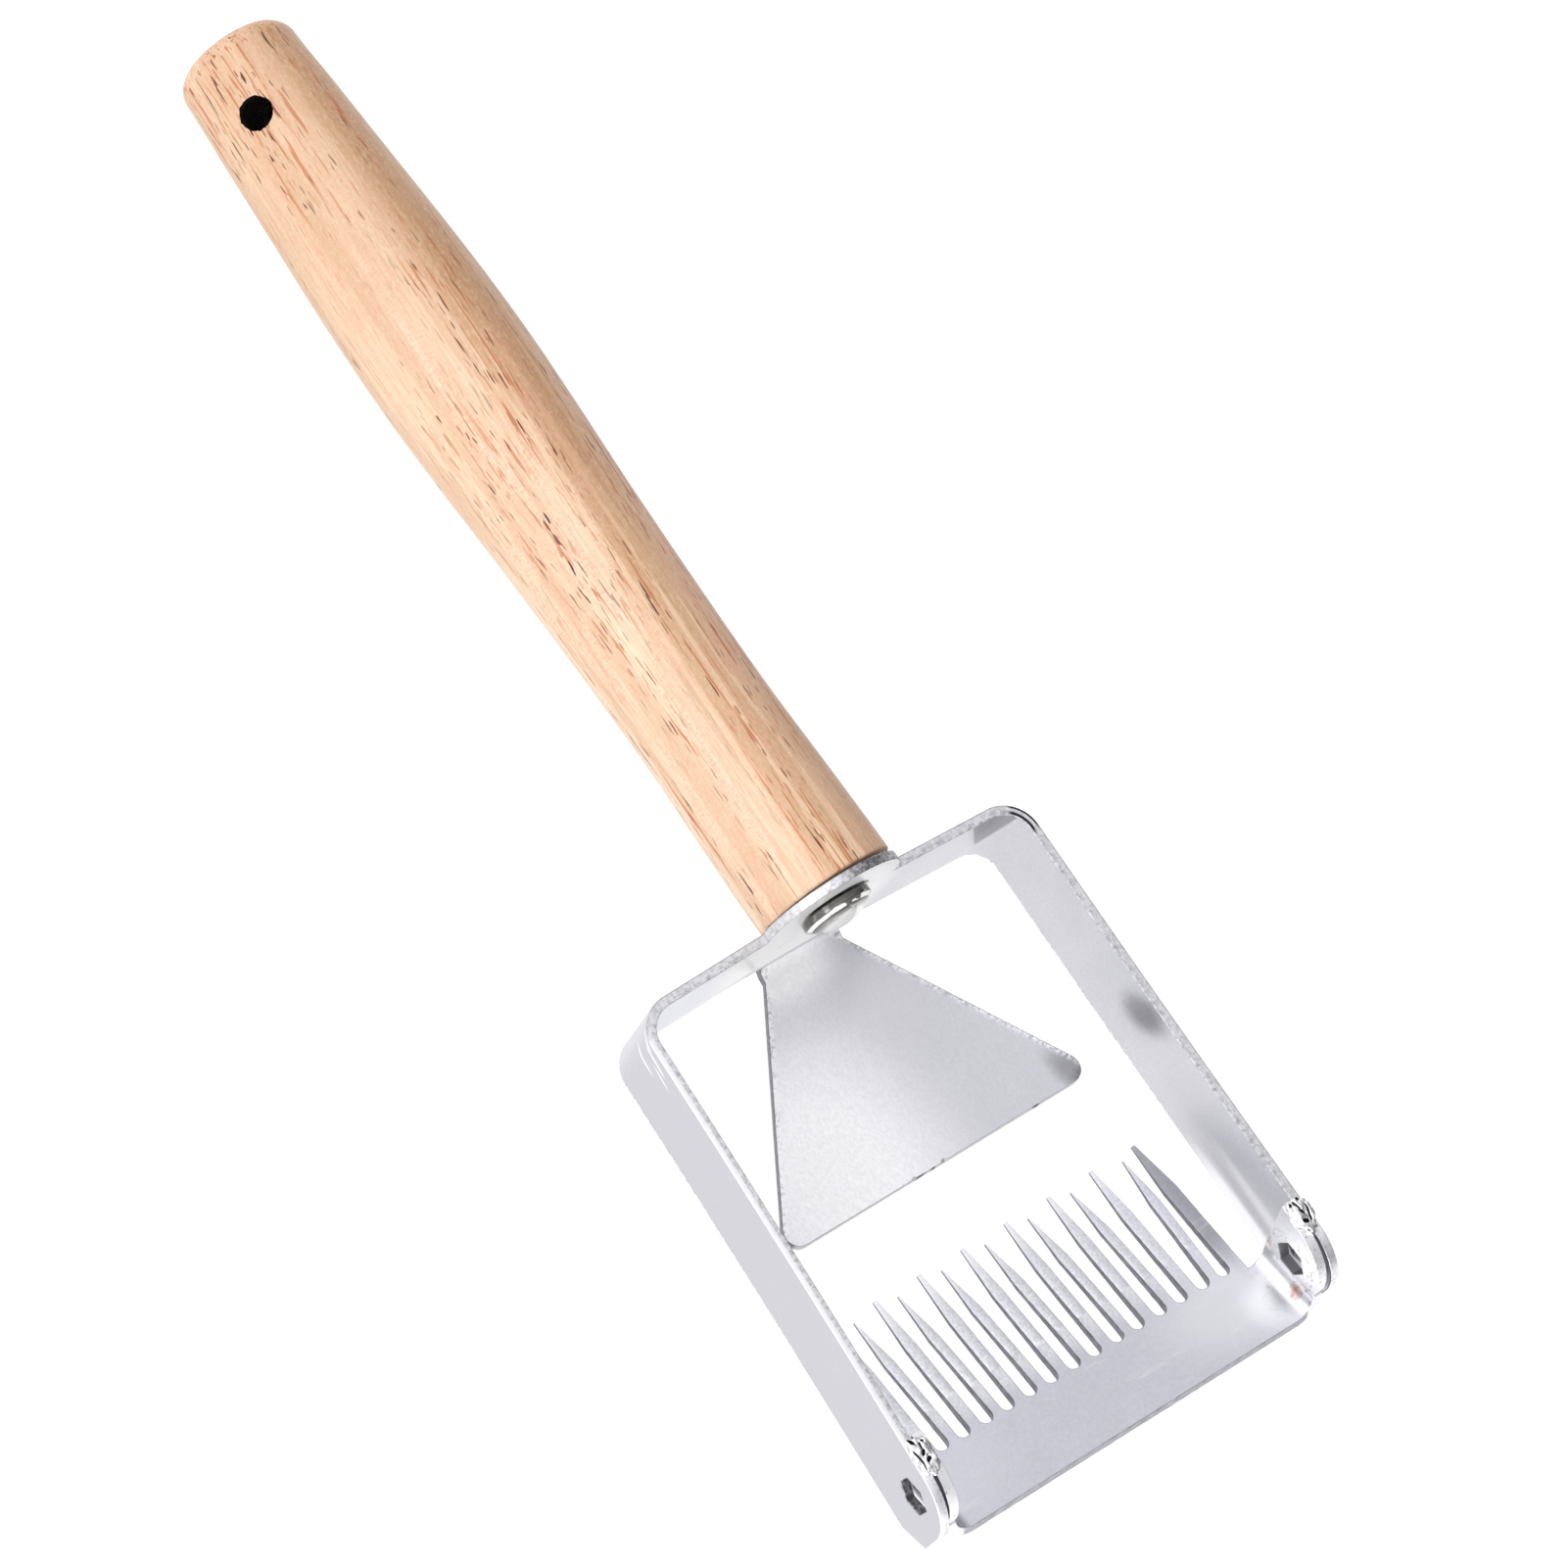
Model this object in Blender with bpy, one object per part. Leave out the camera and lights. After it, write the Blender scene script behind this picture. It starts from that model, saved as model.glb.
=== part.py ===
"""Uncapping knife: a beekeeper's scraper with a turned handle, a bent sheet-steel bow that
carries a guide plate, and a comb of tines across the bow's open end.

Metres, +Z up. +X runs from the handle to the comb. Inside the root empty, the origin is where
the handle screw's axis meets the back face of the bow. Both steel parts are flat blanks that
are folded: each is drawn flat, sliced along its bend lines, thickened, and then bent.
"""
import math

import bmesh
import bpy
from mathutils import Vector

MM = 0.001

# Handle: a turned piece, as (distance behind the bow, radius)
HANDLE_LENGTH = 194.6 * MM
HANDLE_PROFILE = ((0.0, 14.0), (17, 13.75), (38, 13.3), (60, 13.55), (82, 14.15), (104, 15.0),
                  (121, 15.3), (140, 14.85), (161, 13.8), (178, 12.9), (189.8, 12.2))
HANDLE_END_ROUND = 4.6 * MM
HANDLE_GAP = 0.6 * MM            # between the bow and the handle's end, on the axis
HANDLE_LEAN = math.radians(1.84)  # the pilot bore is drilled slightly off the handle's axis
HANG_HOLE_RADIUS = 3.3 * MM
HANG_HOLE_STATION = 177.5 * MM
HANG_HOLE_TURN = math.radians(35)

# Screw through the boss into the handle
SCREW_HEAD_RADIUS = 7.15 * MM
SCREW_RIM_HEIGHT = 1.3 * MM
SCREW_DOME_HEIGHT = 2.7 * MM
SCREW_SHANK_RADIUS = 2.5 * MM
SCREW_DEPTH = 42.0 * MM          # how far the shank reaches into the handle
SCREW_CLEARANCE = 0.3 * MM
BOSS_HOLE_RADIUS = 3.0 * MM

# Bow: a strap bent into a U, with a boss, two lobes and the guide plate in one blank
STRAP_THICKNESS = 1.9 * MM
STRAP_TOP = -1.6 * MM
STRAP_BOTTOM = -23.3 * MM
BOSS_RADIUS = 14.5 * MM
KINK_START = 15.0 * MM           # beside the boss the cross-member leans forward a little
KINK_ANGLE = math.radians(1.8)
KINK_BEND_RADIUS = 30.0 * MM
CORNER_INNER_RADIUS = 5.4 * MM
CORNER_HALF_WIDTH = 44.05 * MM   # outer face, where a corner becomes an arm
ARM_FLARE = (math.radians(0.5), math.radians(1.97))  # the arms curve outwards a little
ARM_REACH = 107.7 * MM           # front edge of the arms, ahead of the bow's back face
ARM_END_RADIUS = 10.3 * MM
ARM_FOOT = -18.9 * MM            # where the front edge ends and the chamfer starts
CHAMFER_START = 102.0 * MM
HEX_CENTRE = (99.0 * MM, -10.5 * MM)
HEX_RADIUS = 3.7 * MM            # across corners, halved
HEX_TURN = math.radians(12)

# Guide plate: bent forward from the strap's lower edge
GUIDE_BEND_RADIUS = 2.2 * MM
GUIDE_BEND_ANGLE = math.radians(92.4)
GUIDE_NECK_HALF_WIDTH = 9.1 * MM
GUIDE_LENGTH = 45.7 * MM         # from the end of the bend to the front edge
GUIDE_FLARE = 0.6                # half-width gained for each unit of length
GUIDE_CORNER_RADIUS = 3.0 * MM

# Comb plate: tines, a flat band, and an ear bent up at each end
COMB_THICKNESS = 2.2 * MM
COMB_FRONT = (109.2 * MM, -14.15 * MM)  # top of the front edge
COMB_PITCH = math.radians(18)
COMB_SKEW = math.radians(-0.6)   # the comb was welded in slightly askew
COMB_BEND_START = 38.0 * MM
COMB_BEND_RADIUS = 3.3 * MM
COMB_CORNER_CUT = 1.0 * MM       # how far the front edge falls back across the bend
EAR_REAR = (14.0 * MM, 15.2 * MM)  # rear edge behind the front edge, before and after the bend
EAR_REAR_TOP = (90.7 * MM, -1.4 * MM)
EAR_RADIUS = 9.8 * MM
EAR_REACH = 106.8 * MM
TINE_COUNT = 15
TINE_SPACING = 5.03 * MM
TINE_ROOT = 16.4 * MM            # centre of the slots' round ends, behind the front edge
OUTER_TINE_EDGE = 36.9 * MM
TINE_TIP_THICKNESS = 0.2         # of the plate's thickness
SIDE_BENT_TINE = 13              # one tine leans towards its neighbour
SIDE_BEND = 2.4 * MM
# Even tines are blunt and set up, odd tines are sharp and set down
EVEN_TINE = {"half_width": 1.2 * MM, "tip": 0.4 * MM, "end": 46.3 * MM, "taper": 11.0 * MM,
             "set": 0.8 * MM}
ODD_TINE = {"half_width": 1.03 * MM, "tip": 0.08 * MM, "end": 45.6 * MM, "taper": 10.5 * MM,
            "set": -1.2 * MM}

# Tack welds over the top edges of each arm and its ear
WELD_SIZE = (3.7 * MM, 2.5 * MM, 1.3 * MM)
WELD_CENTRE = (94.4 * MM, 43.7 * MM, -1.35 * MM)

BEND_STEPS = 8


# ---------------------------------------------------------------- scene and materials

def clear_scene():
    for obj in list(bpy.data.objects):
        bpy.data.objects.remove(obj)


def new_collection(name):
    collection = bpy.data.collections.new(name)
    bpy.context.scene.collection.children.link(collection)
    return collection


def material(name, colour, roughness, metallic):
    mat = bpy.data.materials.new(name)
    mat.use_nodes = True
    shader = mat.node_tree.nodes["Principled BSDF"]
    shader.inputs["Base Color"].default_value = (*colour, 1)
    shader.inputs["Roughness"].default_value = roughness
    shader.inputs["Metallic"].default_value = metallic
    return mat


def add_object(name, bm, mat, collection, parent):
    """Turn a bmesh into a named object under its parent."""
    bmesh.ops.triangulate(bm, faces=bm.faces[:])
    bmesh.ops.recalc_face_normals(bm, faces=bm.faces[:])
    mesh = bpy.data.meshes.new(name)
    bm.to_mesh(mesh)
    bm.free()
    if mat:
        mesh.materials.append(mat)
    obj = bpy.data.objects.new(name, mesh)
    collection.objects.link(obj)
    obj.parent = parent
    return obj


# ---------------------------------------------------------------- outlines

def arc(centre, radius, start, end, steps):
    """Points on an arc, angles in radians, both ends included."""
    angles = [start + (end - start) * i / steps for i in range(steps + 1)]
    return [(centre[0] + radius * math.cos(a), centre[1] + radius * math.sin(a)) for a in angles]


def rounded_corner(before, corner, after, radius, steps):
    """The arc that rounds a corner between two straight edges."""
    c, a, b = Vector(corner), Vector(before), Vector(after)
    to_a, to_b = (a - c).normalized(), (b - c).normalized()
    half = to_a.angle(to_b) / 2
    centre = c + (to_a + to_b).normalized() * radius / math.sin(half)
    first = c + to_a * radius / math.tan(half) - centre
    last = c + to_b * radius / math.tan(half) - centre
    start, end = math.atan2(first.y, first.x), math.atan2(last.y, last.x)
    turn = (end - start + math.pi) % (2 * math.pi) - math.pi
    return arc(centre, radius, start, start + turn, steps)


def mirrored(half):
    """Close an outline from its +side half, whose first axis is the mirrored one."""
    return half + [(-x, y) for x, y in reversed(half) if abs(x) > 1e-9]


def smooth_profile(points, steps):
    """Catmull-Rom curve through (station, radius) points."""
    padded = [points[0]] + list(points) + [points[-1]]
    curve = []
    for p0, p1, p2, p3 in zip(padded, padded[1:], padded[2:], padded[3:]):
        for step in range(steps):
            t = step / steps
            weights = (-t + 2 * t**2 - t**3, 2 - 5 * t**2 + 3 * t**3,
                       t + 4 * t**2 - 3 * t**3, -t**2 + t**3)
            radius = sum(w * p[1] for w, p in zip(weights, (p0, p1, p2, p3))) / 2
            curve.append((p1[0] + (p2[0] - p1[0]) * t, radius))
    return curve + [points[-1]]


# ---------------------------------------------------------------- sheet metal

def flat_blank(outline, holes, cuts_u, cuts_v, thickness):
    """A flat sheet in the UV plane, sliced along its bend lines, centred on its thickness."""
    bm = bmesh.new()
    for loop in [outline] + holes:
        verts = [bm.verts.new((u, v, -thickness / 2)) for u, v in loop]
        for first, second in zip(verts, verts[1:] + verts[:1]):
            bm.edges.new((first, second))
    bmesh.ops.triangle_fill(bm, edges=bm.edges[:], use_beauty=True, use_dissolve=False)
    for normal, cuts in (((1, 0, 0), cuts_u), ((0, 1, 0), cuts_v)):
        for cut in cuts:
            bmesh.ops.bisect_plane(bm, geom=bm.verts[:] + bm.edges[:] + bm.faces[:], dist=1e-7,
                                   plane_co=Vector(normal) * cut, plane_no=normal)
    extruded = bmesh.ops.extrude_face_region(bm, geom=bm.faces[:])
    top = [v for v in extruded["geom"] if isinstance(v, bmesh.types.BMVert)]
    bmesh.ops.translate(bm, verts=top, vec=(0, 0, thickness))
    return bm


def fold(bm, place):
    """Move every point of a flat blank to its bent place."""
    for vert in bm.verts:
        vert.co = place(*vert.co)


def spread(start, end, steps):
    return [start + (end - start) * i / steps for i in range(steps + 1)]


# ---------------------------------------------------------------- turned parts

def turned(profile, segments):
    """Spin a profile of (x, radius) points about X. It starts and ends on the axis."""
    bm = bmesh.new()
    verts = [bm.verts.new((x, 0, radius)) for x, radius in profile]
    edges = [bm.edges.new(pair) for pair in zip(verts, verts[1:])]
    bmesh.ops.spin(bm, geom=verts + edges, cent=(0, 0, 0), axis=(1, 0, 0),
                   angle=2 * math.pi, steps=segments, use_merge=True)
    bmesh.ops.remove_doubles(bm, verts=bm.verts[:], dist=1e-7)
    return bm


def cylinder_cutter(name, radius, length, location, rotation, collection, parent):
    bm = bmesh.new()
    bmesh.ops.create_cone(bm, cap_ends=True, segments=32, radius1=radius, radius2=radius,
                          depth=length)
    cutter = add_object(name, bm, None, collection, parent)
    cutter.location = location
    cutter.rotation_euler = rotation
    cutter.hide_render = True
    cutter.display_type = "WIRE"
    return cutter


def cut_away(obj, cutter):
    modifier = obj.modifiers.new(cutter.name, "BOOLEAN")
    modifier.operation = "DIFFERENCE"
    modifier.solver = "EXACT"
    modifier.object = cutter


def make_handle(mat, collection, cutters, root):
    body = smooth_profile([(x * MM, r * MM) for x, r in HANDLE_PROFILE], 4)
    rim = body[-1][1] - HANDLE_END_ROUND
    end_arc = arc((body[-1][0], rim), HANDLE_END_ROUND, math.pi / 2, 0, 6)
    front = [(0, 0), (0, body[0][1] - 0.4 * MM), (0.4 * MM, body[0][1])]
    profile = front + body[1:] + end_arc[1:] + [(HANDLE_LENGTH + 0.3 * MM, 0)]
    handle = add_object("handle", turned([(-x, r) for x, r in profile], 48), mat, collection, root)
    handle.location = (-HANDLE_GAP, 0, 0)
    handle.rotation_euler = (0, 0, HANDLE_LEAN)
    hole = cylinder_cutter("hang_hole", HANG_HOLE_RADIUS, 50 * MM, (-HANG_HOLE_STATION, 0, 0),
                           (HANG_HOLE_TURN, 0, 0), cutters, handle)
    depth = SCREW_DEPTH + 2 * MM
    bore = cylinder_cutter("pilot_bore", SCREW_SHANK_RADIUS + SCREW_CLEARANCE, 2 * depth,
                           (0, 0, 0), (0, math.pi / 2, 0), cutters, root)
    cut_away(handle, hole)
    cut_away(handle, bore)
    return handle


def make_screw(mat, collection, root):
    under = STRAP_THICKNESS + SCREW_CLEARANCE
    rim = under + SCREW_RIM_HEIGHT
    sag = SCREW_DOME_HEIGHT
    sphere = (SCREW_HEAD_RADIUS**2 + sag**2) / (2 * sag)
    half_angle = math.asin(SCREW_HEAD_RADIUS / sphere)
    dome = [(rim + sag - sphere * (1 - math.cos(a)), sphere * math.sin(a))
            for a in spread(0, half_angle, 8)]
    shank = [(under, SCREW_HEAD_RADIUS), (under, SCREW_SHANK_RADIUS),
             (4 * MM - SCREW_DEPTH, SCREW_SHANK_RADIUS), (-SCREW_DEPTH, 0)]
    return add_object("handle_screw", turned(dome + shank, 48), mat, collection, root)


# ---------------------------------------------------------------- bow

def strap_pieces():
    """The strap's middle line from its centre to an arm's end, as (length, turn) pieces."""
    middle = CORNER_INNER_RADIUS + STRAP_THICKNESS / 2
    end = math.pi / 2 - ARM_FLARE[0]
    sideways = KINK_START + KINK_BEND_RADIUS * math.sin(KINK_ANGLE)
    corner = middle * (math.sin(end) - math.sin(KINK_ANGLE))
    target = CORNER_HALF_WIDTH - STRAP_THICKNESS / 2
    side = (target - sideways - corner) / math.cos(KINK_ANGLE)
    forward = (STRAP_THICKNESS / 2 + KINK_BEND_RADIUS * (1 - math.cos(KINK_ANGLE))
               + side * math.sin(KINK_ANGLE) + middle * (math.cos(KINK_ANGLE) - math.cos(end)))
    arm = (ARM_REACH - forward) / math.cos(sum(ARM_FLARE) / 2)
    return [(KINK_START, 0), (KINK_BEND_RADIUS * KINK_ANGLE, KINK_ANGLE), (side, 0),
            (middle * (end - KINK_ANGLE), end - KINK_ANGLE),
            (arm, ARM_FLARE[0] - ARM_FLARE[1])]


def along_arm(x):
    """Developed length from the strap's centre to a place x ahead of the bow's back."""
    total = sum(length for length, turn in strap_pieces())
    return total - (ARM_REACH - x)


def strap_place(s):
    """Point and heading of the strap's middle line at developed length s, on the +Y side."""
    x, y, heading = STRAP_THICKNESS / 2, 0.0, 0.0
    for length, turn in strap_pieces():
        step = min(s, length)
        if turn:
            radius = length / turn
            end = heading + step / radius
            x += radius * (math.cos(heading) - math.cos(end))
            y += radius * (math.sin(end) - math.sin(heading))
            heading = end
        else:
            x += step * math.sin(heading)
            y += step * math.cos(heading)
        s -= step
    return x, y, heading


def bow_place(s, z, depth):
    """Fold the bow's blank: s along the strap, z up, depth through it towards the inside."""
    if z < STRAP_BOTTOM - 1e-9:
        return guide_place(s, z, depth)
    x, y, heading = strap_place(abs(s))
    x += depth * math.cos(heading)
    y -= depth * math.sin(heading)
    return Vector((x, math.copysign(y, s), z))


def guide_place(s, z, depth):
    """Fold the tab below the strap forward into the guide plate."""
    middle = GUIDE_BEND_RADIUS + STRAP_THICKNESS / 2
    run = STRAP_BOTTOM - z
    angle = min(run / middle, GUIDE_BEND_ANGLE)
    straight = run - angle * middle
    x = STRAP_THICKNESS / 2 + middle - (middle - depth) * math.cos(angle)
    height = STRAP_BOTTOM - (middle - depth) * math.sin(angle)
    return Vector((x + straight * math.sin(angle), s, height - straight * math.cos(angle)))


def bow_outline():
    """The +Y half of the bow's blank, from the guide plate's front edge to the boss's top."""
    neck = STRAP_BOTTOM - (GUIDE_BEND_RADIUS + STRAP_THICKNESS / 2) * GUIDE_BEND_ANGLE
    front = neck - GUIDE_LENGTH
    wide = GUIDE_NECK_HALF_WIDTH + GUIDE_FLARE * GUIDE_LENGTH
    guide = rounded_corner((0, front), (wide, front), (GUIDE_NECK_HALF_WIDTH, neck),
                           GUIDE_CORNER_RADIUS, 6)
    guide = [(0, front)] + guide + [(GUIDE_NECK_HALF_WIDTH, neck),
                                    (GUIDE_NECK_HALF_WIDTH, STRAP_BOTTOM)]
    foot = [(along_arm(CHAMFER_START), STRAP_BOTTOM), (along_arm(ARM_REACH), ARM_FOOT)]
    end_centre = (along_arm(ARM_REACH - ARM_END_RADIUS), STRAP_TOP - ARM_END_RADIUS)
    arm_end = arc(end_centre, ARM_END_RADIUS, 0, math.pi / 2, 10)
    start = math.asin(STRAP_TOP / BOSS_RADIUS)
    return guide + foot + arm_end + arc((0, 0), BOSS_RADIUS, start, math.pi / 2, 16)


def hexagon(centre_u, centre_v, mirror):
    corners = arc((0, 0), HEX_RADIUS, HEX_TURN, HEX_TURN + 2 * math.pi, 6)[:6]
    return [(mirror * (centre_u + u), centre_v + v) for u, v in corners]


def make_bow(mat, collection, root):
    lengths = [length for length, turn in strap_pieces()]
    kink = spread(lengths[0], sum(lengths[:2]), 2)
    corner = spread(sum(lengths[:3]), sum(lengths[:4]), BEND_STEPS)
    arm = spread(corner[-1], corner[-1] + lengths[-1], 8)[1:-1]
    cuts_s = [side * s for s in kink + corner + arm for side in (1, -1)]
    middle = GUIDE_BEND_RADIUS + STRAP_THICKNESS / 2
    cuts_z = [STRAP_BOTTOM - middle * angle for angle in spread(0, GUIDE_BEND_ANGLE, BEND_STEPS)]
    holes = [hexagon(along_arm(HEX_CENTRE[0]), HEX_CENTRE[1], side) for side in (1, -1)]
    holes.append(arc((0, 0), BOSS_HOLE_RADIUS, 0, 2 * math.pi, 24)[:24])
    bm = flat_blank(mirrored(bow_outline()), holes, cuts_s, cuts_z, STRAP_THICKNESS)
    fold(bm, bow_place)
    return add_object("bow_frame", bm, mat, collection, root)


# ---------------------------------------------------------------- comb

def tine_shape(index):
    return EVEN_TINE if index % 2 == 0 else ODD_TINE


def tine_centre(index):
    return (index - (TINE_COUNT - 1) / 2) * TINE_SPACING


def tine_sides(index):
    """A tine's low and high edges at its root. The outer tines end at the plate's side."""
    centre, half = tine_centre(index), tine_shape(index)["half_width"]
    low = -OUTER_TINE_EDGE if index == 0 else centre - half
    high = OUTER_TINE_EDGE if index == TINE_COUNT - 1 else centre + half
    return low, high


def tine_outline():
    """From the +Y side's tine to the -Y side's, with a round slot end between each pair."""
    points = []
    for index in reversed(range(TINE_COUNT)):
        shape, centre = tine_shape(index), tine_centre(index)
        low, high = tine_sides(index)
        taper = shape["end"] - shape["taper"]
        points += [(high, taper), (centre + shape["tip"], shape["end"]),
                   (centre - shape["tip"], shape["end"]), (low, taper)]
        if index:
            below = tine_sides(index - 1)[1]
            slot_centre = ((low + below) / 2, TINE_ROOT)
            points += arc(slot_centre, (low - below) / 2, 0, -math.pi, 6)
    return points


def ear_height(x, z):
    """Distances behind the front edge and above the plate's middle, for a side-view point."""
    forward, up = x - COMB_FRONT[0], z - COMB_FRONT[1]
    behind = -(forward * math.cos(COMB_PITCH) + up * math.sin(COMB_PITCH))
    above = up * math.cos(COMB_PITCH) - forward * math.sin(COMB_PITCH) + COMB_THICKNESS / 2
    return behind, above


def ear_flat(x, z):
    """Blank coordinates of a point on the ear, given its side-view place."""
    middle = COMB_BEND_RADIUS + COMB_THICKNESS / 2
    behind, above = ear_height(x, z)
    return COMB_BEND_START + middle * (math.pi / 2 - 1) + above, behind


def ear_outline():
    """The +Y ear, from the plate's front edge over its top to the outer tine."""
    middle = COMB_BEND_RADIUS + COMB_THICKNESS / 2
    bend_end = COMB_BEND_START + middle * math.pi / 2
    centre = (EAR_REACH - EAR_RADIUS, EAR_REAR_TOP[1] - EAR_RADIUS)
    top = [ear_flat(x, z) for x, z in arc(centre, EAR_RADIUS, 0, math.pi / 2, 10)]
    return ([(COMB_BEND_START, 0), (bend_end, COMB_CORNER_CUT)] + top
            + [ear_flat(*EAR_REAR_TOP), (bend_end, EAR_REAR[1]), (COMB_BEND_START, EAR_REAR[0]),
               (OUTER_TINE_EDGE, EAR_REAR[0])])


def comb_place(b, behind, depth):
    """Fold the comb's blank: b across, behind the front edge, depth through it upwards."""
    root = TINE_ROOT - 1.4 * MM
    along = max(0.0, behind - root) / (EVEN_TINE["end"] - root)
    index = round(b / TINE_SPACING + (TINE_COUNT - 1) / 2)
    if along and 0 <= index < TINE_COUNT and abs(b) <= OUTER_TINE_EDGE + 1e-6:
        thickness = COMB_THICKNESS * (1 - (1 - TINE_TIP_THICKNESS) * along)
        if depth < 0:
            depth = COMB_THICKNESS / 2 - thickness
        depth += tine_shape(index)["set"] * along**2
        b += SIDE_BEND * along if index == SIDE_BENT_TINE else 0
    middle = COMB_BEND_RADIUS + COMB_THICKNESS / 2
    run = max(0.0, abs(b) - COMB_BEND_START)
    angle = min(run / middle, math.pi / 2)
    straight = run - angle * middle
    across = min(abs(b), COMB_BEND_START) + (middle - depth) * math.sin(angle)
    height = middle - (middle - depth) * math.cos(angle) + straight - COMB_THICKNESS / 2
    return Vector((COMB_FRONT[0] - behind * math.cos(COMB_PITCH) - height * math.sin(COMB_PITCH),
                   math.copysign(across, b),
                   COMB_FRONT[1] - behind * math.sin(COMB_PITCH) + height * math.cos(COMB_PITCH)))


def make_comb(mat, collection, root):
    middle = COMB_BEND_RADIUS + COMB_THICKNESS / 2
    bend = spread(COMB_BEND_START, COMB_BEND_START + middle * math.pi / 2, BEND_STEPS)
    cuts_b = [side * b for b in bend for side in (1, -1)]
    cuts_behind = spread(TINE_ROOT, ODD_TINE["end"] - ODD_TINE["taper"] - 1 * MM, 5)
    cuts_behind += spread(ODD_TINE["end"] - 7 * MM, ODD_TINE["end"] - 2 * MM, 2)
    side = ear_outline()
    outline = side + tine_outline() + [(-b, behind) for b, behind in reversed(side)]
    hole = [ear_flat(x, z) for x, z in hexagon(HEX_CENTRE[0], HEX_CENTRE[1], 1)]
    holes = [hole, [(-b, behind) for b, behind in hole]]
    bm = flat_blank(outline, holes, cuts_b, cuts_behind, COMB_THICKNESS)
    fold(bm, comb_place)
    comb = add_object("comb_plate", bm, mat, collection, root)
    comb.rotation_euler = (0, 0, COMB_SKEW)
    comb.location = (0, -HEX_CENTRE[0] * math.sin(COMB_SKEW), 0)
    return comb


# ---------------------------------------------------------------- welds

def make_weld(name, side, mat, collection, root):
    """A low lumpy bead with a flat underside."""
    bm = bmesh.new()
    bmesh.ops.create_icosphere(bm, subdivisions=3, radius=1)
    for vert in bm.verts:
        x, y, z = vert.co
        lump = 1 + 0.12 * math.sin(7 * x + 2 * side) * math.cos(5 * y + x)
        vert.co = (x * WELD_SIZE[0] * lump, y * WELD_SIZE[1] * lump, max(z, 0) * WELD_SIZE[2] * lump)
    weld = add_object(name, bm, mat, collection, root)
    weld.location = (WELD_CENTRE[0], side * WELD_CENTRE[1], WELD_CENTRE[2])
    return weld


# ---------------------------------------------------------------- assembly

def stand_on_floor(root, parts):
    """Put the whole tool's box on the floor, centred above the origin."""
    depsgraph = bpy.context.evaluated_depsgraph_get()
    corners = []
    for part in parts:
        evaluated = part.evaluated_get(depsgraph)
        mesh = evaluated.to_mesh()
        corners += [evaluated.matrix_world @ vert.co for vert in mesh.vertices]
        evaluated.to_mesh_clear()
    low = [min(c[axis] for c in corners) for axis in range(3)]
    high = [max(c[axis] for c in corners) for axis in range(3)]
    root.location = (-(low[0] + high[0]) / 2, -(low[1] + high[1]) / 2, -low[2])


def main():
    clear_scene()
    tool = new_collection("uncapping_knife")
    cutters = new_collection("cutters")
    root = bpy.data.objects.new("tool_root", None)
    tool.objects.link(root)
    wood = material("wood", (0.80, 0.56, 0.36), 0.45, 0)
    steel = material("steel", (0.62, 0.62, 0.66), 0.35, 1)
    plate = material("comb_steel", (0.58, 0.58, 0.63), 0.4, 1)
    polished = material("screw_steel", (0.7, 0.7, 0.7), 0.15, 1)
    weld = material("weld_steel", (0.66, 0.66, 0.67), 0.3, 1)
    parts = [make_handle(wood, tool, cutters, root),
             make_bow(steel, tool, root),
             make_comb(plate, tool, root),
             make_screw(polished, tool, root),
             make_weld("left_weld", 1, weld, tool, root),
             make_weld("right_weld", -1, weld, tool, root)]
    bpy.context.view_layer.update()
    stand_on_floor(root, parts)


main()
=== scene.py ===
"""Looks for the uncapping knife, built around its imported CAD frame.

Metres, in the frame's axes: +X runs from the handle to the comb, +Z is up. Inside the tool's
own frame the origin is where the handle screw's axis meets the back face of the bow. The two
sheet-steel parts are drawn flat with softened, sheared edges, sliced along their bends, and
folded; the handle and the screw are turned; the welds are modelled as lumpy beads.
"""

import math

import bmesh
import bpy
from mathutils import Matrix, Vector, noise


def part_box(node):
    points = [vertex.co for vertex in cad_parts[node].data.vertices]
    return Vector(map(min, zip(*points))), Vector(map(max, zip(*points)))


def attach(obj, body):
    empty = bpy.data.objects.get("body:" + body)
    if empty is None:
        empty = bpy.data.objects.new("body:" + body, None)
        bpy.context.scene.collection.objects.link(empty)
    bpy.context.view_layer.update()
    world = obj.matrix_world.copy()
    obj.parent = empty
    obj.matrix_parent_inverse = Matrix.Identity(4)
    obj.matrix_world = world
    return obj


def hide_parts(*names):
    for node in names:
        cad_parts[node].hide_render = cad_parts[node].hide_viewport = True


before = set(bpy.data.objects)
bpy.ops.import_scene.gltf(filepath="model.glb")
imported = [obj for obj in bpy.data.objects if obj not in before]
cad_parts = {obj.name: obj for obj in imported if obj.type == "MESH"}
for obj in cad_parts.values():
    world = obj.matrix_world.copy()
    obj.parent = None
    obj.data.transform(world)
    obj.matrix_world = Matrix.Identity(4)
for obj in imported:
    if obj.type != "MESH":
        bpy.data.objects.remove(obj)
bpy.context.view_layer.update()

MM = 0.001
TINY = 1e-7

# Handle: a turned piece, its profile as (distance behind the bow, radius) in millimetres
HANDLE_LENGTH = 194.6 * MM
HANDLE_PROFILE = ((0.0, 14.0), (17, 13.75), (38, 13.3), (60, 13.55), (82, 14.15), (104, 15.0),
                  (121, 15.3), (140, 14.85), (161, 13.8), (178, 12.9), (189.8, 12.2))
HANDLE_END_ROUND = 4.6 * MM
HANDLE_GAP = 0.6 * MM
HANDLE_LEAN = math.radians(1.84)
HANG_HOLE_RADIUS = 3.3 * MM
HANG_HOLE_STATION = 177.5 * MM
HANG_HOLE_TURN = math.radians(35)
HANG_HOLE_TEAR = 0.42 * MM
HANDLE_FRONT_ROUND = 0.5 * MM
HANDLE_WAVE = 0.11 * MM

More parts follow.
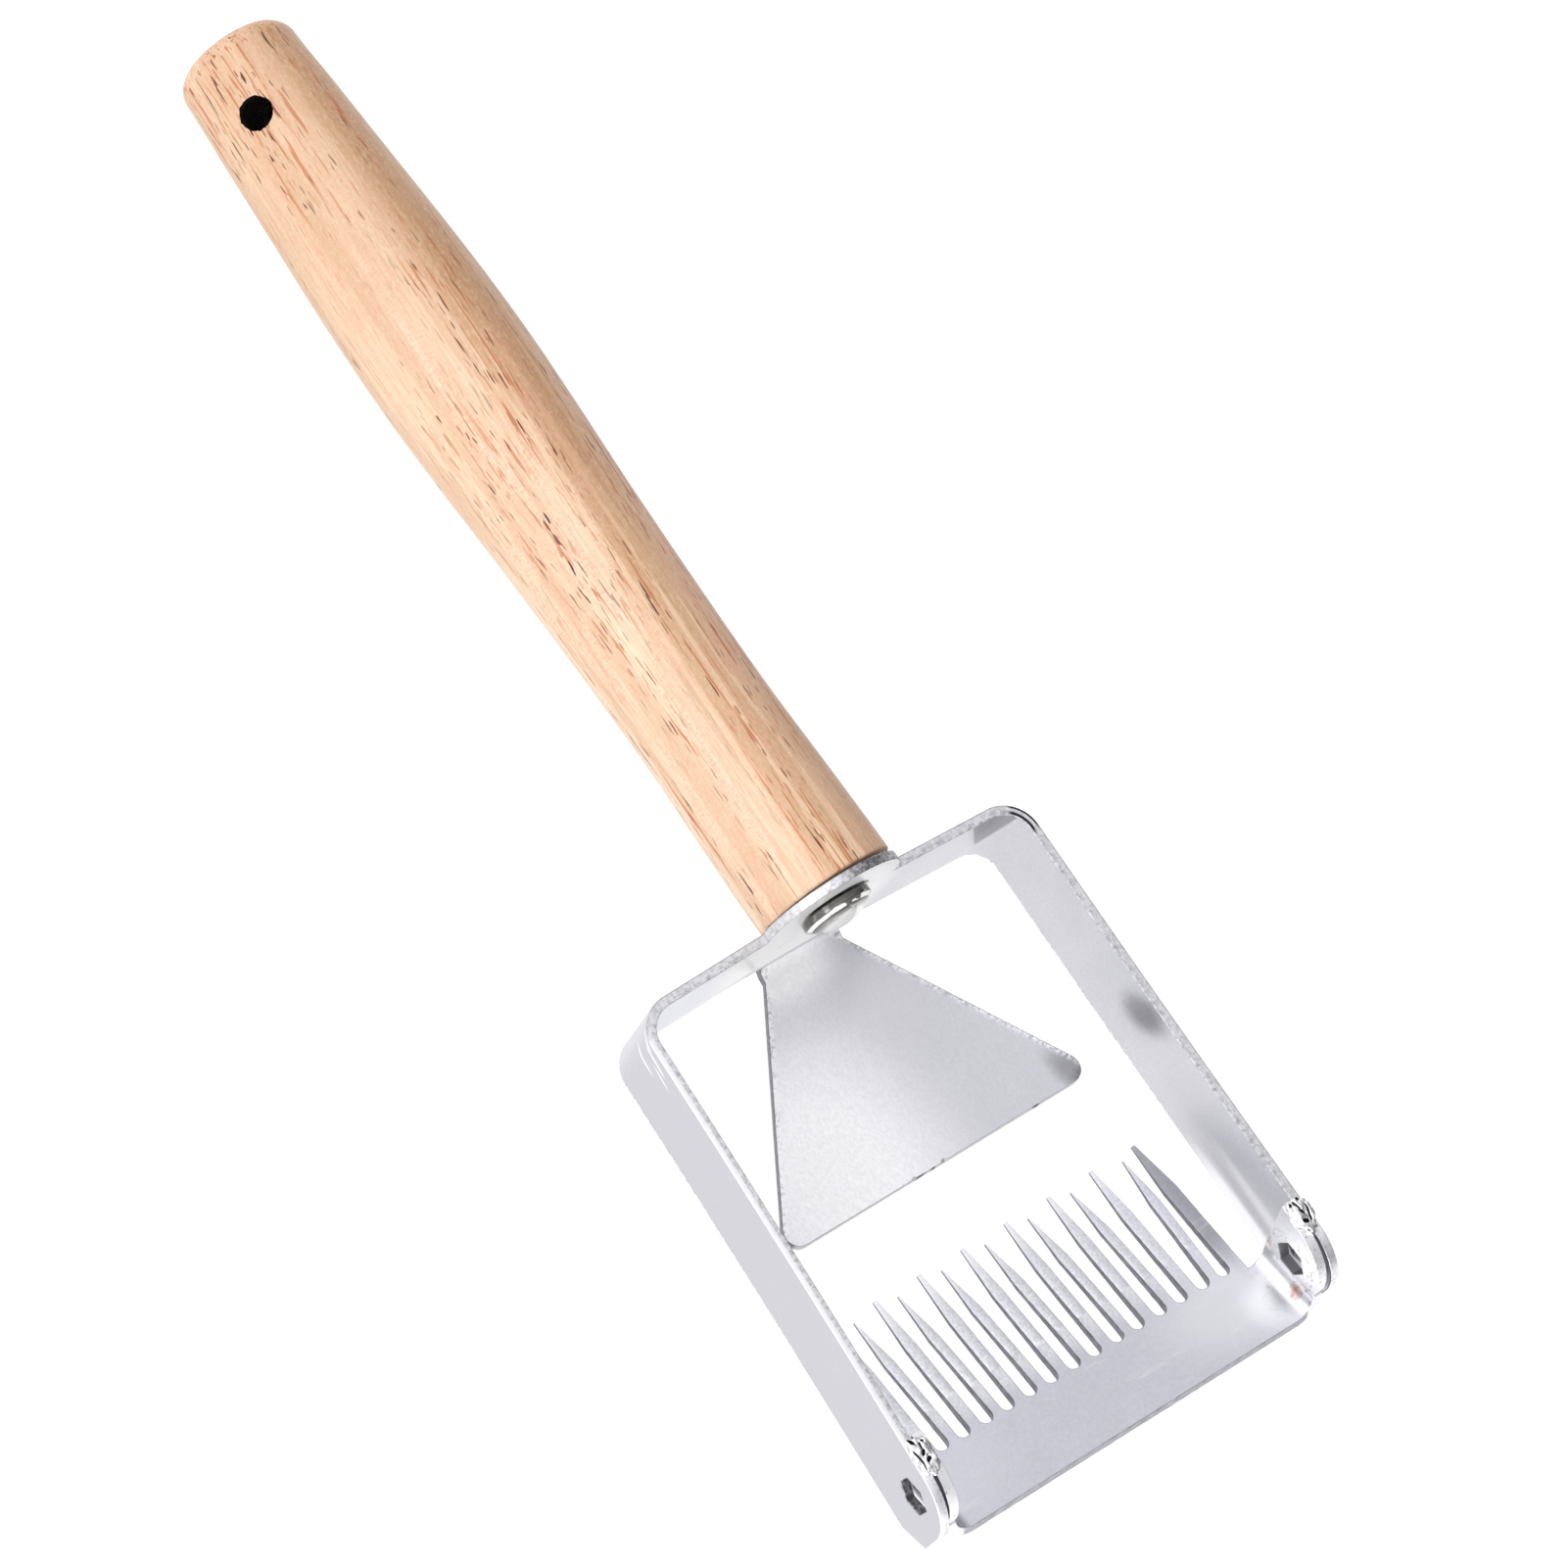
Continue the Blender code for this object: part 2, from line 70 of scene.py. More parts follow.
# Screw head
SCREW_HEAD_RADIUS = 7.15 * MM
SCREW_RIM_HEIGHT = 1.3 * MM
SCREW_DOME_HEIGHT = 2.7 * MM
SCREW_LIP_ROLL = 0.45 * MM
SCREW_SHANK_RADIUS = 2.5 * MM
SCREW_DEPTH = 42.0 * MM
SCREW_CLEARANCE = 0.3 * MM
BOSS_HOLE_RADIUS = 3.0 * MM

# Bow
STRAP_THICKNESS = 1.9 * MM
BOW_EDGE_ROUND = 0.16 * MM
STRAP_TOP = -1.6 * MM
STRAP_BOTTOM = -23.3 * MM
BOSS_RADIUS = 14.5 * MM
KINK_START = 15.0 * MM
KINK_ANGLE = math.radians(1.8)
KINK_BEND_RADIUS = 30.0 * MM
CORNER_INNER_RADIUS = 5.4 * MM
CORNER_HALF_WIDTH = 44.05 * MM
ARM_FLARE = (math.radians(0.5), math.radians(1.97))
ARM_REACH = 107.7 * MM
ARM_END_RADIUS = 10.3 * MM
ARM_FOOT = -18.9 * MM
CHAMFER_START = 102.0 * MM
HEX_CENTRE = (99.0 * MM, -10.5 * MM)
HEX_RADIUS = 3.7 * MM
HEX_TURN = math.radians(12)
ARM_HEX_SPARE = 0.2 * MM
ARM_HEX_TURN = math.radians(26)

# Guide plate. A nick in its front edge is (place across, width, depth)
GUIDE_BEND_RADIUS = 2.2 * MM
GUIDE_BEND_ANGLE = math.radians(92.4)
GUIDE_NECK_HALF_WIDTH = 9.1 * MM
GUIDE_LENGTH = 45.7 * MM
GUIDE_FLARE = 0.6
GUIDE_CORNER_RADIUS = 3.0 * MM
GUIDE_NICKS = ((0.3 * MM, 0.42 * MM, 0.7 * MM), (-6.6 * MM, 0.4 * MM, 0.4 * MM))
GUIDE_BEND_MIDDLE = GUIDE_BEND_RADIUS + STRAP_THICKNESS / 2
GUIDE_NECK = STRAP_BOTTOM - GUIDE_BEND_MIDDLE * GUIDE_BEND_ANGLE
GUIDE_FRONT = GUIDE_NECK - GUIDE_LENGTH

# Comb plate
COMB_THICKNESS = 2.2 * MM
COMB_FRONT = (109.2 * MM, -14.15 * MM)
COMB_PITCH = math.radians(18)
COMB_SKEW = math.radians(-0.6)
COMB_BEND_START = 38.0 * MM
COMB_BEND_RADIUS = 3.3 * MM
COMB_BEND_MIDDLE = COMB_BEND_RADIUS + COMB_THICKNESS / 2
COMB_BEND_END = COMB_BEND_START + COMB_BEND_MIDDLE * math.pi / 2
COMB_CORNER_CUT = 1.0 * MM
EAR_REAR = (14.0 * MM, 15.2 * MM)
EAR_REAR_TOP = (90.7 * MM, -1.4 * MM)
EAR_RADIUS = 9.8 * MM
EAR_REACH = 106.8 * MM
TINE_COUNT = 15
TINE_SPACING = 5.03 * MM
TINE_ROOT = 16.4 * MM
TINE_SET_START = TINE_ROOT - 1.4 * MM
OUTER_TINE_EDGE = 36.9 * MM
TINE_TIP_THICKNESS = 0.2
SIDE_BENT_TINE = 13
SIDE_BEND = 2.4 * MM
EVEN_TINE = {"half_width": 1.2 * MM, "tip": 0.4 * MM, "end": 46.3 * MM, "taper": 11.0 * MM,
             "set": 0.8 * MM}
ODD_TINE = {"half_width": 1.03 * MM, "tip": 0.08 * MM, "end": 45.6 * MM, "taper": 10.5 * MM,
            "set": -1.2 * MM}

# Welds. A crack is (x, y, half length, half width, turn in degrees), in parts of the bead's size
WELD_SIZE = (3.9 * MM, 2.4 * MM, 1.5 * MM)
WELD_CENTRE = (94.4 * MM, 43.63 * MM, -1.4 * MM)
WELD_CRACKS = ((-0.78, 0.30, 0.16, 0.16, 0), (-0.50, -0.10, 0.26, 0.085, 25),
               (-0.12, 0.02, 0.24, 0.10, 55), (0.30, -0.12, 0.26, 0.11, 70),
               (0.10, 0.52, 0.50, 0.06, -8), (-0.62, -0.45, 0.12, 0.07, -40))
WELD_CRACK_DEPTH = 0.42 * MM

# Fineness of the meshes
BEND_STEPS = 18
OUTLINE_STEP = 0.55 * MM
BEND_MARGIN = 0.35 * MM

# Camera
CAMERA_LENS = 124.614
CAMERA_PLACE = (0.186096, -0.391399, 0.920644)
CAMERA_TURN = (21.38836, -14.67575, 55.54116)


# ------------------------------ places

def tool_origin():
    """The tool's own origin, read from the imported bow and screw."""
    bow_low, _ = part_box("bow_frame")
    screw_low, screw_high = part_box("handle_screw")
    middle = (screw_low + screw_high) / 2
    return Vector((bow_low.x, middle.y, middle.z))


# ------------------------------ outlines

def arc(centre, radius, start, end, steps):
    """Points on an arc, angles in radians, both ends included."""
    return [(centre[0] + radius * math.cos(a), centre[1] + radius * math.sin(a))
            for a in spread(start, end, steps)]


def rounded_corner(before, corner, after, radius, steps):
    """The arc that rounds a corner between two straight edges."""
    c, a, b = Vector(corner), Vector(before), Vector(after)
    to_a, to_b = (a - c).normalized(), (b - c).normalized()
    half = to_a.angle(to_b) / 2
    centre = c + (to_a + to_b).normalized() * radius / math.sin(half)
    first = c + to_a * radius / math.tan(half) - centre
    last = c + to_b * radius / math.tan(half) - centre
    start, end = math.atan2(first.y, first.x), math.atan2(last.y, last.x)
    turn = (end - start + math.pi) % (2 * math.pi) - math.pi
    return arc(centre, radius, start, start + turn, steps)


def mirrored(half):
    """Close an outline from its +side half, whose first axis is the mirrored one."""
    return half + [(-x, y) for x, y in reversed(half) if abs(x) > 1e-9]


def smooth_profile(points, steps):
    """Catmull-Rom curve through (station, radius) points."""
    padded = [points[0]] + list(points) + [points[-1]]
    curve = []
    for p0, p1, p2, p3 in zip(padded, padded[1:], padded[2:], padded[3:]):
        for step in range(steps):
            t = step / steps
            weights = (-t + 2 * t**2 - t**3, 2 - 5 * t**2 + 3 * t**3,
                       t + 4 * t**2 - 3 * t**3, -t**2 + t**3)
            radius = sum(w * p[1] for w, p in zip(weights, (p0, p1, p2, p3))) / 2
            curve.append((p1[0] + (p2[0] - p1[0]) * t, radius))
    return curve + [points[-1]]


def spread(start, end, steps):
    """Evenly spaced numbers, both ends included."""
    return [start + (end - start) * i / steps for i in range(steps + 1)]


def divided(outline, step):
    """The closed outline with its long edges cut into pieces no longer than the step."""
    points = []
    for a, b in zip(outline, outline[1:] + outline[:1]):
        count = max(1, math.ceil(math.dist(a, b) / step))
        points += [(a[0] + (b[0] - a[0]) * i / count, a[1] + (b[1] - a[1]) * i / count)
                   for i in range(count)]
    return points


def signed_area(outline):
    return sum(a[0] * b[1] - a[1] * b[0] for a, b in zip(outline, outline[1:] + outline[:1])) / 2


def inward(outline):
    """For each point of an outline with the sheet on its left, the mitred step into the sheet."""
    steps = []
    for before, here, after in zip(outline[-1:] + outline[:-1], outline, outline[1:] + outline[:1]):
        arriving = (Vector(here) - Vector(before)).normalized()
        leaving = (Vector(after) - Vector(here)).normalized()
        along = (arriving + leaving).normalized()
        steps.append(Vector((-along.y, along.x)) / max(0.4, along.dot(leaving)))
    return steps


# ------------------------------ sheet metal

# The rings of points round a sheet's edge, as (turn of the softening in degrees, height)
EDGE_RINGS = ((90, 1), (45, 1), (0, 1), (0, 0.3), (0, -0.3), (0, -1), (45, -1), (90, -1))


def slice_mesh(bm, point, normal):
    bmesh.ops.bisect_plane(bm, geom=bm.verts[:] + bm.edges[:] + bm.faces[:], dist=TINY,
                           plane_co=point, plane_no=normal)


def sheet(outline, holes, cuts_u, cuts_v, thickness, edge_round, edge_wear):
    """A flat sheet with softened edges, sliced along its bends. Its edge faces are material 1,
    and "through" stores each point's place in the thickness, from -1 underneath to 1 on top.

    edge_round(v) is the softening's radius, and edge_wear(u, v, height) moves an edge point into
    the sheet, where height runs from -1 underneath to 1 on top.
    """
    bm = bmesh.new()
    through = bm.verts.layers.float.new("through")
    lids = {1: [], -1: []}
    for index, loop in enumerate([outline] + holes):
        points = divided(loop, OUTLINE_STEP)
        if (signed_area(points) > 0) != (index == 0):
            points.reverse()
        steps = inward(points)
        rings = []
        for turn, height in EDGE_RINGS:
            turn = math.radians(turn)
            ring = []
            for (u, v), step in zip(points, steps):
                radius = edge_round(v)
                level = height
                if abs(height) == 1:
                    level = height * (1 - 2 * radius * (1 - math.sin(turn)) / thickness)
                depth = radius * (1 - math.cos(turn)) + edge_wear(u, v, level)
                vert = bm.verts.new((u + step.x * depth, v + step.y * depth, level * thickness / 2))
                vert[through] = level
                ring.append(vert)
            rings.append(ring)
        for upper, lower in zip(rings, rings[1:]):
            for i in range(len(upper)):
                j = (i + 1) % len(upper)
                face = bm.faces.new((upper[i], lower[i], lower[j], upper[j]))
                face.material_index = 1
        for side, ring in ((1, rings[0]), (-1, rings[-1])):
            lids[side] += [bm.edges.get((a, b)) for a, b in zip(ring, ring[1:] + ring[:1])]
    for edges in lids.values():
        bmesh.ops.triangle_fill(bm, edges=edges, use_beauty=True, use_dissolve=False)
    for normal, cuts in (((1, 0, 0), cuts_u), ((0, 1, 0), cuts_v)):
        for cut in cuts:
            slice_mesh(bm, Vector(normal) * cut, normal)
    return bm


def fold(bm, place):
    """Move every point of a flat sheet to its bent place."""
    for vert in bm.verts:
        vert.co = place(*vert.co)


def add_object(name, data):
    obj = bpy.data.objects.new(name, data)
    bpy.context.scene.collection.objects.link(obj)
    return obj


def add_mesh(name, bm, materials):
    """Turn a bmesh into an object at the origin, and free it."""
    mesh = bpy.data.meshes.new(name)
    bm.to_mesh(mesh)
    bm.free()
    for mat in materials:
        mesh.materials.append(mat)
    return add_object(name, mesh)


def add_piece(name, bm, materials, crease=math.radians(18)):
    """Turn a bmesh in the tool's frame into a smooth-shaded object in its place."""
    bmesh.ops.recalc_face_normals(bm, faces=bm.faces[:])
    obj = add_mesh(name, bm, materials)
    obj.data.polygons.foreach_set("use_smooth", [True] * len(obj.data.polygons))
    obj.data.set_sharp_from_angle(angle=crease)
    obj.location = tool_origin()
    return obj


# ------------------------------ bow

def strap_pieces():
    """The strap's middle line from its centre to an arm's end, as (length, turn) pieces."""
    middle = CORNER_INNER_RADIUS + STRAP_THICKNESS / 2
    end = math.pi / 2 - ARM_FLARE[0]
    sideways = KINK_START + KINK_BEND_RADIUS * math.sin(KINK_ANGLE)
    corner = middle * (math.sin(end) - math.sin(KINK_ANGLE))
    target = CORNER_HALF_WIDTH - STRAP_THICKNESS / 2
    side = (target - sideways - corner) / math.cos(KINK_ANGLE)
    forward = (STRAP_THICKNESS / 2 + KINK_BEND_RADIUS * (1 - math.cos(KINK_ANGLE))
               + side * math.sin(KINK_ANGLE) + middle * (math.cos(KINK_ANGLE) - math.cos(end)))
    arm = (ARM_REACH - forward) / math.cos(sum(ARM_FLARE) / 2)
    return [(KINK_START, 0), (KINK_BEND_RADIUS * KINK_ANGLE, KINK_ANGLE), (side, 0),
            (middle * (end - KINK_ANGLE), end - KINK_ANGLE),
            (arm, ARM_FLARE[0] - ARM_FLARE[1])]


STRAP_PIECES = strap_pieces()


def along_arm(x):
    """Developed length from the strap's centre to a place x ahead of the bow's back."""
    return sum(length for length, _ in STRAP_PIECES) - (ARM_REACH - x)


def strap_place(s):
    """Point and heading of the strap's middle line at developed length s, on the +Y side."""
    x, y, heading = STRAP_THICKNESS / 2, 0.0, 0.0
    for length, turn in STRAP_PIECES:
        step = min(s, length)
        if turn:
            radius = length / turn
            end = heading + step / radius
            x += radius * (math.cos(heading) - math.cos(end))
            y += radius * (math.sin(end) - math.sin(heading))
            heading = end
        else:
            x += step * math.sin(heading)
            y += step * math.cos(heading)
        s -= step
    return x, y, heading


def bow_place(s, z, depth):
    """Fold the bow's blank: s along the strap, z up, depth through it towards the inside."""
    if z < STRAP_BOTTOM - 1e-9 and (abs(s) < GUIDE_NECK_HALF_WIDTH + 1 * MM or z < GUIDE_NECK):
        return guide_place(s, z, depth)
    x, y, heading = strap_place(abs(s))
    x += depth * math.cos(heading)
    y -= depth * math.sin(heading)
    return Vector((x, math.copysign(y, s), z))


def guide_place(s, z, depth):
    """Fold the tab below the strap forward into the guide plate."""
    run = STRAP_BOTTOM - z
    angle = min(run / GUIDE_BEND_MIDDLE, GUIDE_BEND_ANGLE)
    straight = run - angle * GUIDE_BEND_MIDDLE
    radius = GUIDE_BEND_MIDDLE - depth
    x = STRAP_THICKNESS / 2 + GUIDE_BEND_MIDDLE - radius * math.cos(angle)
    height = STRAP_BOTTOM - radius * math.sin(angle)
    return Vector((x + straight * math.sin(angle), s, height - straight * math.cos(angle)))


def bow_outline():
    """The +Y half of the bow's blank, from the guide plate's front edge to the boss's top."""
    wide = GUIDE_NECK_HALF_WIDTH + GUIDE_FLARE * GUIDE_LENGTH
    guide = rounded_corner((0, GUIDE_FRONT), (wide, GUIDE_FRONT),
                           (GUIDE_NECK_HALF_WIDTH, GUIDE_NECK), GUIDE_CORNER_RADIUS, 12)
    guide = [(0, GUIDE_FRONT)] + guide + [(GUIDE_NECK_HALF_WIDTH, GUIDE_NECK),
                                          (GUIDE_NECK_HALF_WIDTH, STRAP_BOTTOM)]
    foot = [(along_arm(CHAMFER_START), STRAP_BOTTOM), (along_arm(ARM_REACH), ARM_FOOT)]
    end_centre = (along_arm(ARM_REACH - ARM_END_RADIUS), STRAP_TOP - ARM_END_RADIUS)
    arm_end = arc(end_centre, ARM_END_RADIUS, 0, math.pi / 2, 24)
    start = math.asin(STRAP_TOP / BOSS_RADIUS)
    return guide + foot + arm_end + arc((0, 0), BOSS_RADIUS, start, math.pi / 2, 32)


def hexagon(centre_u, centre_v, mirror, spare=0.0, turn=HEX_TURN):
    """A hexagonal hole's outline, which mirror = -1 puts on the -Y side."""
    corners = arc((0, 0), HEX_RADIUS + spare, turn, turn + 2 * math.pi, 6)[:6]
    return [(mirror * (centre_u + u), centre_v + v) for u, v in corners]


def ripple(u, v, size, seed):
    """Smooth noise of about unit height, at the given grain size."""
    return noise.noise(Vector((u / size, v / size, seed)))


def bow_wear(u, v, height):
    """The sheared edges of the bow: rough above, with burrs and two nicks on the guide plate."""
    rough = 0.03 * MM * ripple(u, v, 0.9 * MM, 4 + height)
    on_guide = v < GUIDE_NECK
    if on_guide and height > 0.5:
        for place, width, depth in GUIDE_NICKS:
            rough += depth * math.exp(-((u - place)**2 + (v - GUIDE_FRONT)**2) / width**2)
        if abs(u) > GUIDE_NECK_HALF_WIDTH + 1 * MM and v > GUIDE_FRONT + 3 * MM:
            burr = 0.14 if u > 0 else 0.04
            rough += burr * MM * max(0, ripple(u, v, 0.6 * MM, 9))
    if v > STRAP_TOP - 0.1 * MM and height > -0.5:
        rough += 0.03 * MM * ripple(u, v, 0.5 * MM, 2)
    return rough


def make_bow(materials):
    lengths = [length for length, _ in STRAP_PIECES]
    kink = spread(lengths[0], sum(lengths[:2]), 3)
    corner = spread(sum(lengths[:3]), sum(lengths[:4]), BEND_STEPS)
    arm = spread(corner[-1], corner[-1] + lengths[-1], 12)[1:-1]
    margins = [kink[0] - BEND_MARGIN, kink[-1] + BEND_MARGIN,
               corner[0] - BEND_MARGIN, corner[-1] + BEND_MARGIN]
    cuts_s = [side * s for s in kink + corner + arm + margins for side in (1, -1)]
    cuts_z = [STRAP_BOTTOM - GUIDE_BEND_MIDDLE * angle
              for angle in spread(0, GUIDE_BEND_ANGLE, BEND_STEPS)]
    cuts_z += [cuts_z[0] + BEND_MARGIN, cuts_z[-1] - BEND_MARGIN]
    holes = [hexagon(along_arm(HEX_CENTRE[0]), HEX_CENTRE[1], side, ARM_HEX_SPARE, ARM_HEX_TURN)
             for side in (1, -1)]
    holes.append(arc((0, 0), BOSS_HOLE_RADIUS, 0, 2 * math.pi, 48)[:48])
    bm = sheet(mirrored(bow_outline()), holes, cuts_s, cuts_z, STRAP_THICKNESS,
               lambda v: BOW_EDGE_ROUND, bow_wear)
    fold(bm, bow_place)
    return add_piece("bow", bm, materials)


# ------------------------------ comb

def tine_shape(index):
    return EVEN_TINE if index % 2 == 0 else ODD_TINE


def tine_centre(index):
    return (index - (TINE_COUNT - 1) / 2) * TINE_SPACING


def tine_sides(index):
    """A tine's low and high edges at its root. The outer tines end at the plate's side."""
    centre, half = tine_centre(index), tine_shape(index)["half_width"]
    low = -OUTER_TINE_EDGE if index == 0 else centre - half
    high = OUTER_TINE_EDGE if index == TINE_COUNT - 1 else centre + half
    return low, high


def tine_outline():
    """From the +Y side's tine to the -Y side's, with a round slot end between each pair."""
    points = []
    for index in reversed(range(TINE_COUNT)):
        shape, centre = tine_shape(index), tine_centre(index)
        low, high = tine_sides(index)
        taper = shape["end"] - shape["taper"]
        points += [(high, taper), (centre + shape["tip"], shape["end"]),
                   (centre - shape["tip"], shape["end"]), (low, taper)]
        if index:
            below = tine_sides(index - 1)[1]
            slot_centre = ((low + below) / 2, TINE_ROOT)
            points += arc(slot_centre, (low - below) / 2, 0, -math.pi, 12)
    return points


def ear_height(x, z):
    """Distances behind the front edge and above the plate's middle, for a side-view point."""
    forward, up = x - COMB_FRONT[0], z - COMB_FRONT[1]
    behind = -(forward * math.cos(COMB_PITCH) + up * math.sin(COMB_PITCH))
    above = up * math.cos(COMB_PITCH) - forward * math.sin(COMB_PITCH) + COMB_THICKNESS / 2
    return behind, above


def ear_flat(x, z):
    """Blank coordinates of a point on the ear, given its side-view place."""
    behind, above = ear_height(x, z)
    return COMB_BEND_START + COMB_BEND_MIDDLE * (math.pi / 2 - 1) + above, behind


def ear_outline():
    """The +Y ear, from the plate's front edge over its top to the outer tine."""
    centre = (EAR_REACH - EAR_RADIUS, EAR_REAR_TOP[1] - EAR_RADIUS)
    top = [ear_flat(x, z) for x, z in arc(centre, EAR_RADIUS, 0, math.pi / 2, 24)]
    rear = [ear_flat(*EAR_REAR_TOP), (COMB_BEND_END, EAR_REAR[1]), (COMB_BEND_START, EAR_REAR[0]),
            (OUTER_TINE_EDGE, EAR_REAR[0])]
    return [(COMB_BEND_START, 0), (COMB_BEND_END, COMB_CORNER_CUT)] + top + rear


def comb_place(b, behind, depth):
    """Fold the comb's blank: b across, behind the front edge, depth through it upwards."""
    along = max(0.0, behind - TINE_SET_START) / (EVEN_TINE["end"] - TINE_SET_START)
    index = round(b / TINE_SPACING + (TINE_COUNT - 1) / 2)
    if along and 0 <= index < TINE_COUNT and abs(b) <= OUTER_TINE_EDGE + 0.1 * MM:
        thinning = 1 - (1 - TINE_TIP_THICKNESS) * along
        depth = COMB_THICKNESS / 2 - (COMB_THICKNESS / 2 - depth) * thinning
        depth += tine_shape(index)["set"] * along**2
        b += SIDE_BEND * along if index == SIDE_BENT_TINE else 0
    run = max(0.0, abs(b) - COMB_BEND_START)
    angle = min(run / COMB_BEND_MIDDLE, math.pi / 2)
    straight = run - angle * COMB_BEND_MIDDLE
    radius = COMB_BEND_MIDDLE - depth
    across = min(abs(b), COMB_BEND_START) + radius * math.sin(angle)
    height = COMB_BEND_MIDDLE - radius * math.cos(angle) + straight - COMB_THICKNESS / 2
    return Vector((COMB_FRONT[0] - behind * math.cos(COMB_PITCH) - height * math.sin(COMB_PITCH),
                   math.copysign(across, b),
                   COMB_FRONT[1] - behind * math.sin(COMB_PITCH) + height * math.cos(COMB_PITCH)))


def along_tine(behind):
    """How far along the tines a place lies: 0 on the plate, 1 at the tips."""
    return max(0.0, behind - TINE_ROOT) / (EVEN_TINE["end"] - TINE_ROOT)


def comb_round(behind):
    """Edge softening: small along the tines, and least at their tips."""
    return (0.14 - 0.11 * min(1.0, along_tine(behind) * 1.1)) * MM


def comb_wear(b, behind, height):
    """The comb's cut edges: faintly uneven, and least so at the tips."""
    rough = 0.05 * MM * ripple(b, behind, 1.1 * MM, 3 + height)
    return rough * (1 - 0.8 * min(1.0, along_tine(behind)))


def make_comb(materials):
    bend = spread(COMB_BEND_START, COMB_BEND_END, BEND_STEPS)
    margins = [bend[0] - BEND_MARGIN, bend[-1] + BEND_MARGIN]
    cuts_b = [side * b for b in bend + margins for side in (1, -1)]
    cuts_behind = spread(TINE_ROOT - 1.8 * MM, EVEN_TINE["end"] - 1 * MM, 16)
    side = ear_outline()
    outline = side + tine_outline() + [(-b, behind) for b, behind in reversed(side)]
    hole = [ear_flat(x, z) for x, z in hexagon(HEX_CENTRE[0], HEX_CENTRE[1], 1)]
    holes = [hole, [(-b, behind) for b, behind in hole]]
    bm = sheet(outline, holes, cuts_b, cuts_behind, COMB_THICKNESS, comb_round, comb_wear)
    fold(bm, comb_place)
    skew = Matrix.Rotation(COMB_SKEW, 3, "Z")
    bmesh.ops.transform(bm, matrix=skew.to_4x4(), verts=bm.verts[:])
    bmesh.ops.translate(bm, verts=bm.verts[:], vec=(0, -HEX_CENTRE[0] * math.sin(COMB_SKEW), 0))
    return add_piece("comb", bm, materials)


# ------------------------------ turned parts

def turned(profile, segments):
    """Spin a profile of (x, radius) points about X. It starts and ends on the axis."""
    bm = bmesh.new()
    verts = [bm.verts.new((x, 0, radius)) for x, radius in profile]
    edges = [bm.edges.new(pair) for pair in zip(verts, verts[1:])]
    bmesh.ops.spin(bm, geom=verts + edges, cent=(0, 0, 0), axis=(1, 0, 0),
                   angle=2 * math.pi, steps=segments, use_merge=True)
    bmesh.ops.remove_doubles(bm, verts=bm.verts[:], dist=TINY)
    return bm


def hang_hole_cutter(mat):
    """The hanging hole's drill, with a slightly ragged wall."""
    bm = bmesh.new()
    bmesh.ops.create_cone(bm, cap_ends=True, segments=72, radius1=HANG_HOLE_RADIUS,
                          radius2=HANG_HOLE_RADIUS, depth=50 * MM)
    for level in spread(-16 * MM, 16 * MM, 64):
        slice_mesh(bm, (0, 0, level), (0, 0, 1))
    for vert in bm.verts:
        around = Vector((vert.co.x, vert.co.y, 0))
        if around.length > 1e-6:
            tear = noise.noise(vert.co * (1.1 / MM)) + 0.6 * noise.noise(vert.co * (2.6 / MM))
            vert.co += around.normalized() * max(-0.1, tear) * HANG_HOLE_TEAR
    cutter = add_mesh("hang_hole", bm, [mat])
    cutter.matrix_world = (Matrix.Translation((-HANG_HOLE_STATION, 0, 0))
                           @ Matrix.Rotation(HANG_HOLE_TURN, 4, "X"))
    return cutter


def drilled(obj, cutter):
    """Cut the cutter out of the piece, and remove the cutter."""
    modifier = obj.modifiers.new("hole", "BOOLEAN")
    modifier.operation = "DIFFERENCE"
    modifier.solver = "EXACT"
    modifier.material_mode = "TRANSFER"
    modifier.object = cutter
    bpy.context.view_layer.update()
    depsgraph = bpy.context.evaluated_depsgraph_get()
    mesh = bpy.data.meshes.new_from_object(obj.evaluated_get(depsgraph))
    obj.modifiers.clear()
    obj.data = mesh
    bpy.data.objects.remove(cutter)
    mesh.set_sharp_from_angle(angle=math.radians(30))


def make_handle(mat, hole_mat):
    """The turned handle, with the faint unevenness of a sanded and lacquered piece."""
    body = smooth_profile([(x * MM, r * MM) for x, r in HANDLE_PROFILE], 12)
    rim = body[-1][1] - HANDLE_END_ROUND
    end_arc = arc((body[-1][0], rim), HANDLE_END_ROUND, math.pi / 2, 0, 14)
    edge = HANDLE_FRONT_ROUND
    front = [(0, 0), (0, 6 * MM)] + arc((edge, body[0][1] - edge), edge, math.pi, math.pi / 2, 5)
    end = end_arc[1:] + [(HANDLE_LENGTH, 4 * MM), (HANDLE_LENGTH, 0)]
    profile = front + [point for point in body if point[0] > edge] + end
    bm = turned([(-x, r) for x, r in profile], 128)
    for vert in bm.verts:
        radial = Vector((0, vert.co.y, vert.co.z))
        if radial.length > 9 * MM:
            at = Vector((vert.co.x / (45 * MM), *(radial.normalized() * 1.7).yz))
            vert.co += radial.normalized() * noise.noise(at) * HANDLE_WAVE
    handle = add_piece("wooden_handle", bm, [mat], crease=math.radians(35))
    handle.location = (0, 0, 0)
    drilled(handle, hang_hole_cutter(hole_mat))
    handle.data.transform(Matrix.Translation((-HANDLE_GAP, 0, 0))
                          @ Matrix.Rotation(HANDLE_LEAN, 4, "Z"))
    handle.location = tool_origin()
    return handle


